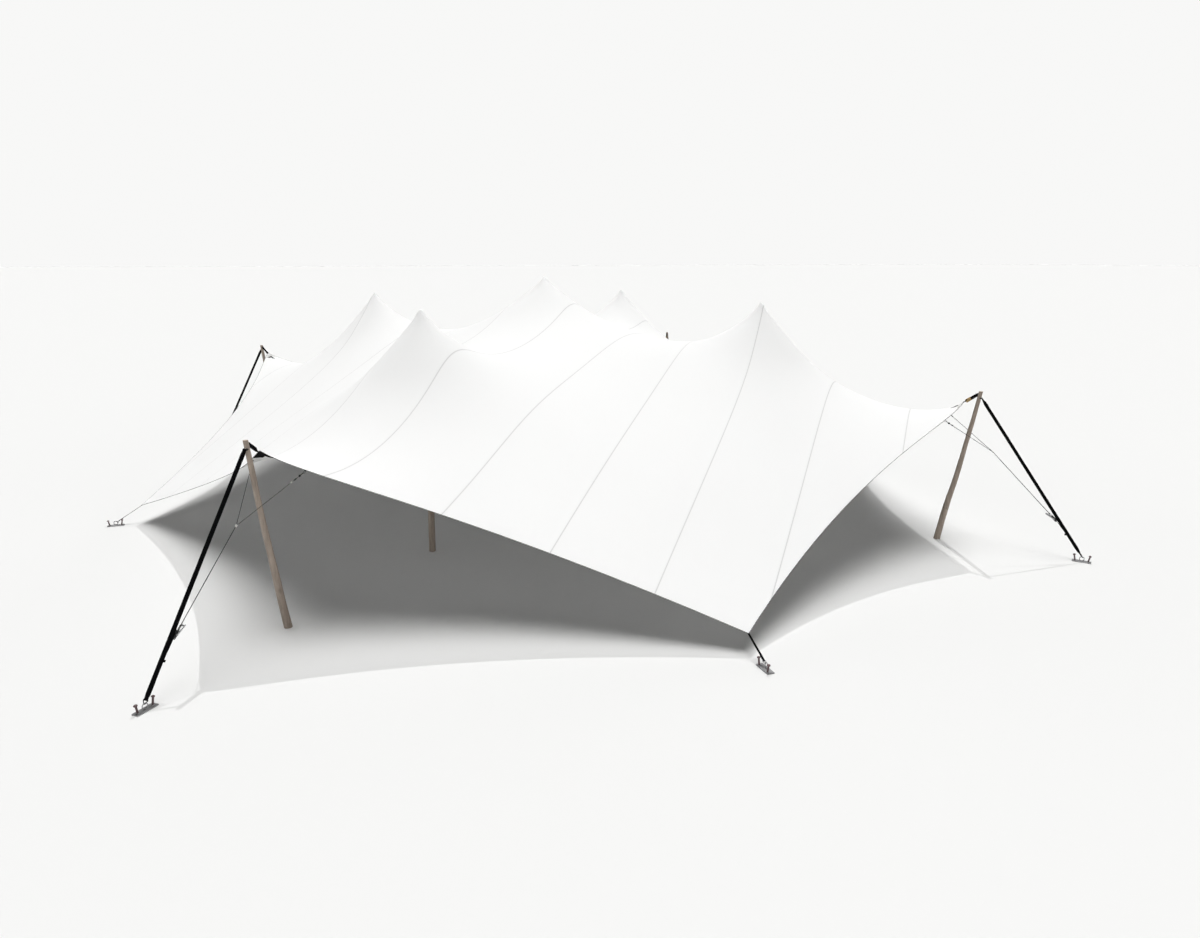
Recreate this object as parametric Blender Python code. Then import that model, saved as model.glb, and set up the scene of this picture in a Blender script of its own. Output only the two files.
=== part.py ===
"""Stretch tent: a sewn stretch sheet over five inner poles and four leaning corner posts.

Metres, +Z up. The origin is on the ground under the centre pole. +X runs from the front-left
corner post towards the front-right one, and +Y runs to the back. The tent is symmetric about
both vertical planes, apart from the sheet's seams, which run along one diagonal.
"""
import math

import bmesh
import bpy
import numpy as np
from mathutils import Matrix, Vector
from mathutils.bvhtree import BVHTree

# Driving dimensions
GAP = 0.0003

CORNERS = {
    "front_left": (-1, -1),
    "front_right": (1, -1),
    "back_left": (-1, 1),
    "back_right": (1, 1),
}
SIDES = {
    "front": (0, -1),
    "right": (1, 0),
    "back": (0, 1),
    "left": (-1, 0),
}

SHEET_DEPTH = 0.012
SHEET_CORNER = (5.545, 6.061, 2.476)
SHEET_FRONT_TIP = (0.0, 8.703, 0.261)
SHEET_SIDE_TIP = (7.895, 0.0, 0.340)
FRONT_EDGE_PULL = ((5.077, 6.359, 2.163), (3.164, 6.369, 1.577))
SIDE_EDGE_PULL = ((5.763, 5.807, 2.267), (5.660, 3.722, 1.701))
CELLS_TO_POLE = 6
CELLS_TO_CENTRE = 6
FINER = 6
STRIP_WIDTH = 1.3333
SEAMS = 10
EDGE_SAMPLES = 400

INNER_POLE = (3.079, 3.468)
PEAK_TOP = 4.035
PEAK_REACH = 0.81
CENTRE_TOP = 4.455
CENTRE_REACH = 0.88
PEAK_POWER = 0.78
PEAK_TIP = 0.040
PEAK_DROP = 0.018

POLE_FOOT_RADIUS = 0.055
POLE_TOP_RADIUS = 0.042
POLE_SIDES = 12
POLE_BEND = 0.022
LOG_RINGS = 8
TWIST_SHARE = 0.6
POLE_HEAD = ((0.064, 1.0), (0.036, 0.58), (0.0, 0.10))
POLE_CLEARANCE = 0.0008

POST_FOOT = (5.413, 5.886)
POST_TOP = (5.690, 6.266, 2.661)
POST_FOOT_RADIUS = 0.054
POST_TOP_RADIUS = 0.032
POST_SIDES = 16
POST_BEND = 0.012
TIE_HEIGHT = 2.590
GUY_HEIGHT = 2.548
GUY_OFFSET = 0.023

LEFT_PEG = (6.910, 7.650)
RIGHT_PEG = (6.785, 7.675)
FRONT_PEG = 9.166
SIDE_PEG = 8.350
PEG_SHIFT = -0.030
TIP_GAP = 0.0017

WEB_WIDTH = 0.054
WEB_THICKNESS = 0.005
HOLD_WIDTH = 0.030
PATCH_DEPTH = 0.26
PATCH_WIDTH = 0.30
PATCH_THICKNESS = 0.004
KNOB_RADIUS = 0.024
KNOB_INSET = 0.040
KNOB_CLEARANCE = 0.001

PLATE_LENGTH = 0.280
PLATE_WIDTH = 0.100
PLATE_THICKNESS = 0.012
STAKE_OFFSET = 0.095
STAKE_RADIUS = 0.012
STAKE_SIDES = 8
STAKE_HEAD_SIDES = 10
STAKE_HEIGHT = 0.105
STAKE_LEAN = 0.020
STAKE_HEAD_RADIUS = 0.022
STAKE_HEAD_HEIGHT = 0.022
STAKE_HEAD_TAPER = 0.6
STAKE_SHIFT = -0.025
RING_RADIUS = 0.034
RING_WIRE = 0.006
RING_SINK = 0.003
RING_SHIFT = 0.018
LINK_RADIUS = 0.020
LINK_WIRE = 0.0056
LINK_GAP = 0.0012
LINK_SINK = 0.004

JUNCTION = (5.881, 6.480, 1.652)
CLIP_FROM_CORNER = 0.62
CLIP_INSET = 0.030
ROPE_RADIUS = 0.004
ROPE_SIDES = 6
CLIP_RADIUS = 0.012
KNOT_RADIUS = 0.013

TAIL_AT = 2.604
RATCHET_BEFORE_TAIL = 0.310
RATCHET_LENGTH = 0.120
RATCHET_WIDTH = 0.030
RATCHET_BODY = 0.032
TAIL_WIDTH = 0.025
TAIL_THICKNESS = 0.004
TAIL_SINK = 0.010
PIN_RADIUS = 0.006
PIN_SIDES = 12
PIN_RISE = 0.004
PIN_END = 0.004
HANDLE_REACH = 0.150
HANDLE_HEEL = 0.012
HANDLE_REST_DEG = 14.0
HANDLE_GAP = 0.005
HANDLE_ARM = 0.004
HANDLE_DEPTH = 0.018
HANDLE_BAR = 0.020
HANDLE_BAR_DEPTH = 0.012


def clear_scene():
    """Empty the file of whatever it starts with."""
    for obj in list(bpy.data.objects):
        bpy.data.objects.remove(obj, do_unlink=True)


def make_collection(name):
    """Add a collection to the scene."""
    collection = bpy.data.collections.new(name)
    bpy.context.scene.collection.children.link(collection)
    return collection


def make_material(name, colour, roughness, metallic=0.0):
    """Principled material of one colour."""
    material = bpy.data.materials.new(name)
    material.use_nodes = True
    shader = material.node_tree.nodes["Principled BSDF"]
    shader.inputs["Base Color"].default_value = (*colour, 1.0)
    shader.inputs["Roughness"].default_value = roughness
    shader.inputs["Metallic"].default_value = metallic
    return material


def link_mesh(name, form, material, collection):
    """Turn a bmesh into an object of the collection."""
    bmesh.ops.recalc_face_normals(form, faces=form.faces)
    mesh = bpy.data.meshes.new(name)
    form.to_mesh(mesh)
    form.free()
    mesh.materials.append(material)
    obj = bpy.data.objects.new(name, mesh)
    collection.objects.link(obj)
    return obj


def bake(obj):
    """Replace an object's mesh with its evaluated one, so that its modifiers are applied."""
    depsgraph = bpy.context.evaluated_depsgraph_get()
    mesh = bpy.data.meshes.new_from_object(obj.evaluated_get(depsgraph))
    obj.modifiers.clear()
    obj.data = mesh


def combine(obj, others, operation):
    """Apply a Boolean of the others to an object, then remove them."""
    for other in others:
        modifier = obj.modifiers.new("join", "BOOLEAN")
        modifier.operation = operation
        modifier.object = other
        modifier.solver = "EXACT"
    bake(obj)
    for other in others:
        bpy.data.objects.remove(other, do_unlink=True)
    return obj


def along(direction, across):
    """Rotation whose X runs along the direction and whose Y runs as near across as it can."""
    x = Vector(direction).normalized()
    z = x.cross(Vector(across)).normalized()
    y = z.cross(x)
    return Matrix((x, y, z)).transposed().to_4x4()


def box(name, size, matrix, material, collection):
    """Box of a size, placed by a matrix."""
    form = bmesh.new()
    bmesh.ops.create_cube(form, size=1.0, matrix=matrix @ Matrix.Diagonal((*size, 1.0)))
    return link_mesh(name, form, material, collection)


def rod(name, start, end, radius, sides, material, collection, end_radius=None):
    """Straight rod between two points."""
    start = Vector(start)
    end = Vector(end)
    turn = (end - start).to_track_quat("Z", "Y").to_matrix().to_4x4()
    form = bmesh.new()
    bmesh.ops.create_cone(
        form,
        cap_ends=True,
        segments=sides,
        radius1=radius,
        radius2=radius if end_radius is None else end_radius,
        depth=(end - start).length,
        matrix=Matrix.Translation((start + end) / 2) @ turn,
    )
    return link_mesh(name, form, material, collection)


def ball(name, centre, radius, material, collection, subdivisions=1):
    """Round ball."""
    form = bmesh.new()
    bmesh.ops.create_icosphere(form, subdivisions=subdivisions, radius=radius,
                               matrix=Matrix.Translation(centre))
    return link_mesh(name, form, material, collection)


def torus(name, centre, normal, radius, wire, material, collection, turns=10, sides=6):
    """Ring of round wire: a circle of wire carried round the normal."""
    turn = Vector(normal).to_track_quat("Z", "Y").to_matrix().to_4x4()
    place = Matrix.Translation(centre) @ turn
    form = bmesh.new()
    section = bmesh.ops.create_circle(
        form,
        segments=sides,
        radius=wire,
        matrix=Matrix.Translation((radius, 0, 0)) @ Matrix.Rotation(math.pi / 2, 4, "X"),
    )
    edges = {edge for vert in section["verts"] for edge in vert.link_edges}
    bmesh.ops.spin(
        form,
        geom=list(section["verts"]) + list(edges),
        cent=(0, 0, 0),
        axis=(0, 0, 1),
        angle=2 * math.pi,
        steps=turns,
        use_merge=True,
    )
    bmesh.ops.remove_doubles(form, verts=form.verts, dist=0.00001)
    bmesh.ops.transform(form, matrix=place, verts=form.verts)
    return link_mesh(name, form, material, collection)


# The sheet's plan and height

def edge_line(first, pull, last, count):
    """Cubic curve between two tips, at even steps along its length."""
    fine = np.linspace(0.0, 1.0, EDGE_SAMPLES)[:, None]
    points = [np.array(point) for point in (first, *pull, last)]
    curve = (
        (1 - fine) ** 3 * points[0]
        + 3 * (1 - fine) ** 2 * fine * points[1]
        + 3 * (1 - fine) * fine**2 * points[2]
        + fine**3 * points[3]
    )
    steps = np.linalg.norm(np.diff(curve, axis=0), axis=1)
    run = np.concatenate(([0.0], np.cumsum(steps)))
    wanted = np.asarray(count) * run[-1]
    return np.stack([np.interp(wanted, run, curve[:, axis]) for axis in range(3)], axis=1)


def side_line(first, pull, last, places, flip):
    """A whole side of the sheet: one edge and its mirror image, read at places from 0 to 1."""
    places = np.asarray(places)
    half = np.where(places <= 0.5, 2 * places, 2 - 2 * places)
    points = edge_line(first, pull, last, half)
    points[places > 0.5] *= np.array(flip)
    return points


def sheet_frame(across, back):
    """Points of the sheet for places across (0 to 1) and back (0 to 1), blended from its sides."""
    low = np.array((-1.0, -1.0, 1.0))
    corner = np.array(SHEET_CORNER) * low
    front_pull = [np.array(point) * low for point in FRONT_EDGE_PULL]
    side_pull = [np.array(point) * low for point in SIDE_EDGE_PULL]
    front = side_line(corner, front_pull, np.array(SHEET_FRONT_TIP) * low, across, (-1, 1, 1))
    left = side_line(corner, side_pull, np.array(SHEET_SIDE_TIP) * low, back, (1, -1, 1))
    rear = front * np.array((1, -1, 1))
    right = left * np.array((-1, 1, 1))
    u = np.asarray(across)[:, None, None]
    v = np.asarray(back)[None, :, None]
    flat = (1 - v) * front[:, None] + v * rear[:, None] + (1 - u) * left[None] + u * right[None]
    corners = (
        (1 - u) * (1 - v) * corner
        + u * (1 - v) * corner * np.array((-1, 1, 1))
        + (1 - u) * v * corner * np.array((1, -1, 1))
        + u * v * corner * np.array((-1, -1, 1))
    )
    return flat - corners


def pole_place():
    """Place (across, back) whose plan point is the front-left inner pole, by Newton steps."""
    target = -np.array(INNER_POLE)
    place = np.array((0.25, 0.25))
    step = 1e-4
    for _ in range(12):
        here = sheet_frame([place[0]], [place[1]])[0, 0, :2]
        along_u = (sheet_frame([place[0] + step], [place[1]])[0, 0, :2] - here) / step
        along_v = (sheet_frame([place[0]], [place[1] + step])[0, 0, :2] - here) / step
        place = place + np.linalg.solve(np.stack([along_u, along_v], axis=1), target - here)
    return place


def graded(pole, to_pole, to_centre):
    """Places from 0 to 1 that crowd towards the poles and the centre."""
    outer = pole * (1 - (1 - np.linspace(0, 1, to_pole + 1)) ** 1.5)
    even = np.linspace(0, 1, to_centre + 1)
    eased = 0.5 * even + 0.25 * (1 - np.cos(math.pi * even))
    inner = pole + (0.5 - pole) * eased
    half = np.concatenate((outer, inner[1:]))
    return np.concatenate((half, 1 - half[-2::-1]))


def stiffness(plan, faces):
    """Edge weights of a triangle mesh: half the cotangent of the angle facing each edge."""
    first = []
    second = []
    weight = []
    for a, b, c in ((0, 1, 2), (1, 2, 0), (2, 0, 1)):
        u = plan[faces[:, a]] - plan[faces[:, c]]
        v = plan[faces[:, b]] - plan[faces[:, c]]
        cross = np.abs(u[:, 0] * v[:, 1] - u[:, 1] * v[:, 0])
        first.append(faces[:, a])
        second.append(faces[:, b])
        weight.append(0.5 * (u * v).sum(axis=1) / cross)
    return np.concatenate(first), np.concatenate(second), np.concatenate(weight)


def relax(height, held, plan, faces, tension):
    """Heights of a taut membrane: each free point is the mean of its neighbours (conjugate steps).

    Tension gives how many times tauter the membrane is at each of a row of plan points.
    """
    first, second, weight = stiffness(plan, faces)
    weight = weight * tension((plan[first] + plan[second]) / 2)
    count = len(height)
    free = ~held

    def pull(values):
        flow = weight * (values[first] - values[second])
        total = np.bincount(first, flow, count) - np.bincount(second, flow, count)
        return np.where(free, total, 0.0)

    diagonal = np.bincount(first, weight, count) + np.bincount(second, weight, count)
    height = height.copy()
    rest = -pull(height)
    scaled = rest / diagonal
    step = scaled.copy()
    power = (rest * scaled).sum()
    for _ in range(4000):
        drag = pull(step)
        length = power / (step * drag).sum()
        height += length * step
        rest -= length * drag
        scaled = rest / diagonal
        fresh = (rest * scaled).sum()
        if fresh < 1e-14:
            break
        step = scaled + (fresh / power) * step
        power = fresh
    return height


def sheet_points():
    """Grid of points on the sheet's top, with a point over each inner pole.

    The heights come from a finer grid, held at its edges and on a small dome over each pole.
    Round a pole the tension grows as a power of reach / distance, which steepens the peak.
    """
    place = pole_place()
    across = graded(place[0], CELLS_TO_POLE * FINER, CELLS_TO_CENTRE * FINER)
    back = graded(place[1], CELLS_TO_POLE * FINER, CELLS_TO_CENTRE * FINER)
    grid = sheet_frame(across, back)
    count = len(across)
    index = np.arange(count * count).reshape(count, count)
    a = index[:-1, :-1].ravel()
    b = index[1:, :-1].ravel()
    c = index[1:, 1:].ravel()
    d = index[:-1, 1:].ravel()
    faces = np.concatenate((np.stack([a, b, c], 1), np.stack([a, c, d], 1)))
    points = grid.reshape(-1, 3)
    held = np.zeros((count, count), bool)
    held[[0, -1], :] = True
    held[:, [0, -1]] = True
    held = held.ravel()
    peaks = [(x * INNER_POLE[0], y * INNER_POLE[1], PEAK_TOP, PEAK_REACH)
             for x, y in CORNERS.values()]
    peaks.append((0.0, 0.0, CENTRE_TOP, CENTRE_REACH))
    for x, y, top, _ in peaks:
        distance = np.hypot(points[:, 0] - x, points[:, 1] - y)
        near = distance < PEAK_TIP
        held |= near
        points[near, 2] = top - PEAK_DROP * (distance[near] / PEAK_TIP) ** 2

    def tension(places):
        found = np.ones(len(places))
        for x, y, _, reach in peaks:
            distance = np.hypot(places[:, 0] - x, places[:, 1] - y)
            tighter = (reach / np.hypot(distance, PEAK_TIP)) ** PEAK_POWER
            found = np.maximum(found, tighter)
        return found

    points[:, 2] = relax(points[:, 2], held, points[:, :2], faces, tension)
    coarse = points.reshape(count, count, 3)[::FINER, ::FINER]
    return coarse.reshape(-1, 3), len(coarse)


def sheet_form():
    """The sheet's top as a bmesh: a grid primitive bent to the sheet's points."""
    points, count = sheet_points()
    form = bmesh.new()
    bmesh.ops.create_grid(form, x_segments=count - 1, y_segments=count - 1, size=1.0)
    for vert in form.verts:
        across = round((vert.co.x + 1) / 2 * (count - 1))
        back = round((vert.co.y + 1) / 2 * (count - 1))
        vert.co = points[across * count + back]
    bmesh.ops.triangulate(form, faces=form.faces)
    return form


def thicken_down(form, thickness):
    """Close an open surface by a copy straight below it."""
    faces = list(form.faces)
    made = bmesh.ops.extrude_face_region(form, geom=faces)
    lower = [item for item in made["geom"] if isinstance(item, bmesh.types.BMVert)]
    bmesh.ops.translate(form, verts=lower, vec=(0, 0, -thickness))


def keep_side(form, point, normal):
    """Cut a surface by a plane and keep what lies against the normal."""
    bmesh.ops.bisect_plane(
        form,
        geom=list(form.verts) + list(form.edges) + list(form.faces),
        dist=0.00001,
        plane_co=point,
        plane_no=normal,
        clear_outer=True,
    )


def seam_normal():
    """Level direction across the seams, which run along the corner posts' diagonal."""
    length = math.hypot(POST_TOP[0], POST_TOP[1])
    return Vector((POST_TOP[1] / length, -POST_TOP[0] / length, 0))


def make_sheet(collection, material):
    """The sewn strips, each cut from the sheet between two seams."""
    across = seam_normal()
    surface = sheet_form()
    limits = [(seam - (SEAMS - 1) / 2) * STRIP_WIDTH for seam in range(SEAMS)]
    for strip in range(SEAMS + 1):
        form = surface.copy()
        if strip > 0:
            keep_side(form, across * (limits[strip - 1] + GAP / 2), -across)
        if strip < SEAMS:
            keep_side(form, across * (limits[strip] - GAP / 2), across)
        thicken_down(form, SHEET_DEPTH)
        link_mesh(f"canopy_strip_{strip + 1:02d}", form, material, collection)
    return surface


def underside(tree, x, y):
    """Height of the sheet's underside at a plan point."""
    hit = tree.ray_cast(Vector((x, y, 10.0)), Vector((0, 0, -1)))
    return hit[0].z - SHEET_DEPTH


# Poles and posts

def log(name, foot, top, foot_radius, top_radius, sides, head, bend, material, collection):
    """Crooked log standing on its flat foot, tapered, bent by two slow waves, with a shaped head."""
    height = top[2]
    form = bmesh.new()
    bmesh.ops.create_cone(
        form, cap_ends=True, segments=sides, radius1=1.0, radius2=1.0, depth=1.0,
        matrix=Matrix.Translation((0, 0, 0.5)),
    )
    upright = [edge for edge in form.edges if abs(edge.verts[0].co.z - edge.verts[1].co.z) > 0.5]
    bmesh.ops.subdivide_edges(form, edges=upright, cuts=LOG_RINGS + len(head) - 1)
    drops = [drop for drop, _ in head]
    shaft = [(height - drops[0]) * step / LOG_RINGS for step in range(LOG_RINGS)]
    levels = shaft + [height - drop for drop in drops]
    shares = [1.0] * LOG_RINGS + [share for _, share in head]
    for vert in form.verts:
        ring = round(vert.co.z * (len(levels) - 1))
        z = levels[ring]
        part = z / height
        radius = (foot_radius + (top_radius - foot_radius) * part) * shares[ring]
        sway = bend * math.sin(math.pi * part)
        twist = bend * TWIST_SHARE * math.sin(2 * math.pi * part)
        vert.co.x = foot[0] + (top[0] - foot[0]) * part + sway + radius * vert.co.x
        vert.co.y = foot[1] + (top[1] - foot[1]) * part + twist + radius * vert.co.y
        vert.co.z = z
    return link_mesh(name, form, material, collection)


def pole_top(tree, x, y):
    """Height of a pole whose head just clears the sheet above each of the head's corners."""
    heights = []
    for drop, share in POLE_HEAD:
        reach = POLE_TOP_RADIUS * share
        for step in range(POLE_SIDES):
            turn = 2 * math.pi * step / POLE_SIDES
            over = underside(tree, x + reach * math.cos(turn), y + reach * math.sin(turn))
            heights.append(over + drop)
    return min(heights) - POLE_CLEARANCE


def make_inner_poles(collection, material, tree):
    """Four inner poles and the centre pole, each ending under the sheet."""
    places = {f"inner_pole_{name}": (x * INNER_POLE[0], y * INNER_POLE[1])
              for name, (x, y) in CORNERS.items()}
    places["centre_pole"] = (0.0, 0.0)
    for number, (name, (x, y)) in enumerate(places.items()):
        top = pole_top(tree, x, y)
        bend = POLE_BEND * (-1) ** number
        log(name, (x, y), (x, y, top), POLE_FOOT_RADIUS, POLE_TOP_RADIUS, POLE_SIDES,
            POLE_HEAD, bend, material, collection)


def post(name, x, y, grow, material, collection):
    """A corner post, or its shape grown by a little for cutting."""
    foot = (x * POST_FOOT[0], y * POST_FOOT[1])
    top = (x * POST_TOP[0], y * POST_TOP[1], POST_TOP[2])
    return log(name, foot, top, POST_FOOT_RADIUS + grow, POST_TOP_RADIUS + grow, POST_SIDES,
               ((0.0, 1.0),), POST_BEND * x, material, collection)


def make_posts(collection, material):
    """Four leaning corner posts."""
    for name, (x, y) in CORNERS.items():
        post(f"corner_post_{name}", x, y, 0.0, material, collection)


# Anchors

def ring_centre_of(peg, side, shift):
    """Centre of the ring that stands on an anchor's plate, moved sideways by the shift."""
    height = PLATE_THICKNESS + RING_RADIUS + RING_WIRE - RING_SINK
    return Vector((peg[0], peg[1], height)) + side * shift


def make_anchor(name, out, side, peg, ring_shift, stake_shift, materials, collection):
    """Plate with two round-headed stakes and a ring that stands on it."""
    centre = Vector((peg[0], peg[1], PLATE_THICKNESS / 2))
    size = (PLATE_LENGTH, PLATE_WIDTH, PLATE_THICKNESS)
    place = Matrix.Translation(centre) @ along(out, side)
    plate = box(name, size, place, materials["steel"], collection)
    extras = []
    for sign in (-1, 1):
        base = centre + out * sign * STAKE_OFFSET + side * stake_shift
        tip = base + out * sign * STAKE_LEAN + Vector((0, 0, STAKE_HEIGHT))
        cap = (tip - base).normalized() * STAKE_HEAD_HEIGHT / 2
        extras.append(rod("stake", base, tip, STAKE_RADIUS, STAKE_SIDES, materials["stake"],
                          collection))
        extras.append(rod("head", tip - cap, tip + cap, STAKE_HEAD_RADIUS, STAKE_HEAD_SIDES,
                          materials["stake"], collection,
                          end_radius=STAKE_HEAD_RADIUS * STAKE_HEAD_TAPER))
    ring = ring_centre_of(peg, side, ring_shift)
    extras.append(torus("ring", ring, side, RING_RADIUS, RING_WIRE, materials["steel"], collection))
    combine(plate, extras, "UNION")


def hooked_strap(name, start, ring, pull, side, width, materials, collection, cutters=()):
    """Flat strap from a start point to a link that hangs on the anchor's ring along the pull."""
    link_centre = ring - pull * (RING_RADIUS - RING_WIRE - LINK_WIRE - LINK_GAP + LINK_RADIUS)
    end = strap_end(ring, pull)
    size = ((end - start).length, width, WEB_THICKNESS)
    place = Matrix.Translation((start + end) / 2) @ along(end - start, side)
    strap = box(name, size, place, materials["web"], collection)
    combine(strap, cutters, "DIFFERENCE")
    link = torus("link", link_centre, pull.cross(side), LINK_RADIUS, LINK_WIRE, materials["steel"],
                 collection)
    combine(strap, [link], "UNION")


def strap_end(ring, pull):
    """Where a strap ends: in the far side of the link that hangs on the ring along the pull."""
    link = LINK_RADIUS - LINK_WIRE - LINK_GAP + LINK_RADIUS - LINK_SINK
    return ring - pull * (RING_RADIUS - RING_WIRE + link)


def corner_peg(x, y):
    """Place of a corner anchor: the right ones stand a little nearer in and further out."""
    peg = LEFT_PEG if x < 0 else RIGHT_PEG
    return Vector((x * peg[0], y * peg[1], 0))


def post_point(x, y, height):
    """Point on a corner post's middle line at a height."""
    foot = Vector((x * POST_FOOT[0], y * POST_FOOT[1], 0))
    top = Vector((x * POST_TOP[0], y * POST_TOP[1], POST_TOP[2]))
    return foot.lerp(top, height / POST_TOP[2])


def outward_of(x, y):
    """Level direction from a corner post's top to its anchor, and the one across it."""
    out = corner_peg(x, y) - post_point(x, y, GUY_HEIGHT)
    out.z = 0
    out.normalize()
    return out, Vector((-out.y, out.x, 0))


def guy_line(x, y):
    """Start of a guy strap in its post, its end over the anchor's ring, and the ring's centre."""
    out, side = outward_of(x, y)
    start = post_point(x, y, GUY_HEIGHT) + out * GUY_OFFSET
    ring = ring_centre_of(corner_peg(x, y), side, 0.0)
    return start, strap_end(ring, Vector((0, 0, -1))), ring


def side_peg(name, x, y):
    """Place of a hold-down's anchor, and the level directions out along its pull and across it."""
    reach = FRONT_PEG if name in ("front", "back") else SIDE_PEG
    side = Vector((abs(y), abs(x), 0))
    peg = Vector((x, y, 0)) * reach + side * PEG_SHIFT
    return peg, Vector((x, y, 0)), side


def make_guys(collection, materials):
    """Guy straps from the corner posts down to the corner anchors."""
    for name, (x, y) in CORNERS.items():
        _, side = outward_of(x, y)
        start, _, ring = guy_line(x, y)
        cutter = post("cutter", x, y, GAP, materials["wood"], collection)
        hooked_strap(f"guy_strap_{name}", start, ring, Vector((0, 0, -1)), side, WEB_WIDTH,
                     materials, collection, [cutter])


def make_hold_downs(collection, materials):
    """Short straps from the sheet's low points down to their anchors."""
    for name, (x, y) in SIDES.items():
        tip = SHEET_FRONT_TIP if x == 0 else SHEET_SIDE_TIP
        peg, out, side = side_peg(name, x, y)
        start = out * (max(tip[0], tip[1]) + TIP_GAP) + Vector((0, 0, tip[2] - SHEET_DEPTH / 2))
        ring = ring_centre_of(peg, side, RING_SHIFT)
        pull = (ring - start).normalized()
        hooked_strap(f"hold_down_{name}", start, ring, pull, side, HOLD_WIDTH, materials, collection)


def make_anchors(collection, materials):
    """Eight anchors: one beyond each corner post and one beyond each low point."""
    for name, (x, y) in CORNERS.items():
        out, side = outward_of(x, y)
        make_anchor(f"anchor_{name}", out, side, corner_peg(x, y), 0.0, 0.0, materials, collection)
    for name, (x, y) in SIDES.items():
        peg, out, side = side_peg(name, x, y)
        make_anchor(f"anchor_{name}", out, side, peg, RING_SHIFT, STAKE_SHIFT, materials, collection)


def knob_place(point, side, tree):
    """Centre of a ball that nests under the sheet's ridge and just clears both its slopes."""
    ridge = underside(tree, point.x, point.y)
    slopes = []
    for sign in (-1, 1):
        beside = point + side * sign * KNOB_RADIUS
        slopes.append((ridge - underside(tree, beside.x, beside.y)) / KNOB_RADIUS)
    steepest = max(0.0, *slopes)
    drop = (KNOB_RADIUS + KNOB_CLEARANCE) * math.sqrt(1 + steepest**2)
    return Vector((point.x, point.y, ridge - drop))


def make_corner_ties(collection, materials, surface, tree):
    """Webbing from each corner post to the reinforcing patch under the sheet's corner."""
    for name, (x, y) in CORNERS.items():
        corner = Vector((x * SHEET_CORNER[0], y * SHEET_CORNER[1], SHEET_CORNER[2]))
        inward = Vector((-x * SHEET_CORNER[0], -y * SHEET_CORNER[1], 0)).normalized()
        side = Vector((-inward.y, inward.x, 0))
        form = surface.copy()
        keep_side(form, corner + inward * PATCH_DEPTH, inward)
        for sideways in (side, -side):
            keep_side(form, corner + sideways * PATCH_WIDTH / 2, sideways)
        bmesh.ops.translate(form, verts=form.verts, vec=(0, 0, -SHEET_DEPTH - GAP))
        thicken_down(form, PATCH_THICKNESS)
        patch = link_mesh(f"corner_tie_{name}", form, materials["web"], collection)
        start = post_point(x, y, TIE_HEIGHT)
        end = knob_place(corner + inward * KNOB_INSET, side, tree)
        line = end - start
        place = Matrix.Translation((start + end) / 2) @ along(line, side)
        web = box("web", (line.length, WEB_WIDTH, WEB_THICKNESS), place, materials["web"], collection)
        cutter = post("cutter", x, y, GAP, materials["wood"], collection)
        combine(web, [cutter], "DIFFERENCE")
        knob = ball("knob", end, KNOB_RADIUS, materials["web"], collection, 2)
        combine(patch, [knob, web], "UNION")


# Bridles and ratchets

def bridle_frame(x, y):
    """The bridle's junction, its tail's end by the guy strap, its pull, inner side and across."""
    start, end, _ = guy_line(x, y)
    out, _ = outward_of(x, y)
    down = (end - start).normalized()
    rest = -(out - down * out.dot(down)).normalized()
    junction = Vector((x * JUNCTION[0], y * JUNCTION[1], JUNCTION[2]))
    tail_end = start + down * TAIL_AT + rest * (WEB_THICKNESS / 2 + TAIL_THICKNESS / 2 + GAP)
    pull = (tail_end - junction).normalized()
    inner = -(out - pull * out.dot(pull)).normalized()
    return junction, tail_end, pull, inner, pull.cross(inner)


def clip_places(x, y, tree):
    """Centres of the two clips that touch the sheet's underside near its edges by a corner."""
    low = np.array((-1.0, -1.0, 1.0))
    corner = np.array(SHEET_CORNER) * low
    places = []
    for pull, tip in ((FRONT_EDGE_PULL, SHEET_FRONT_TIP), (SIDE_EDGE_PULL, SHEET_SIDE_TIP)):
        curve = edge_line(corner, [np.array(p) * low for p in pull], np.array(tip) * low,
                          np.linspace(0, 1, EDGE_SAMPLES))
        run = np.concatenate(([0.0], np.cumsum(np.linalg.norm(np.diff(curve, axis=0), axis=1))))
        spot = np.array([np.interp(CLIP_FROM_CORNER, run, curve[:, axis]) for axis in range(2)])
        inward = -spot / np.linalg.norm(spot)
        spot = spot + inward * CLIP_INSET
        above = Vector((-x * spot[0], -y * spot[1], 10.0))
        point, normal, _, _ = tree.ray_cast(above, Vector((0, 0, -1)))
        if normal.z < 0:
            normal = -normal
        point.z -= SHEET_DEPTH
        places.append(point - normal * (CLIP_RADIUS + 2 * GAP))
    return places


def make_bridles(collection, materials, tree):
    """Y-shaped ropes: two legs from the sheet's edges to a junction, and one run to the ratchet."""
    for name, (x, y) in CORNERS.items():
        junction, tail_end, pull, _, _ = bridle_frame(x, y)
        foot = tail_end - pull * (RATCHET_BEFORE_TAIL + RATCHET_LENGTH / 2 + GAP)
        main = rod(f"bridle_{name}", foot, junction, ROPE_RADIUS, ROPE_SIDES, materials["web"],
                   collection)
        extras = [ball("knot", junction, KNOT_RADIUS, materials["web"], collection)]
        for clip in clip_places(x, y, tree):
            extras.append(rod("leg", junction, clip, ROPE_RADIUS, ROPE_SIDES, materials["web"],
                              collection))
            extras.append(ball("clip", clip, CLIP_RADIUS, materials["web"], collection))
        combine(main, extras, "UNION")


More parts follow.
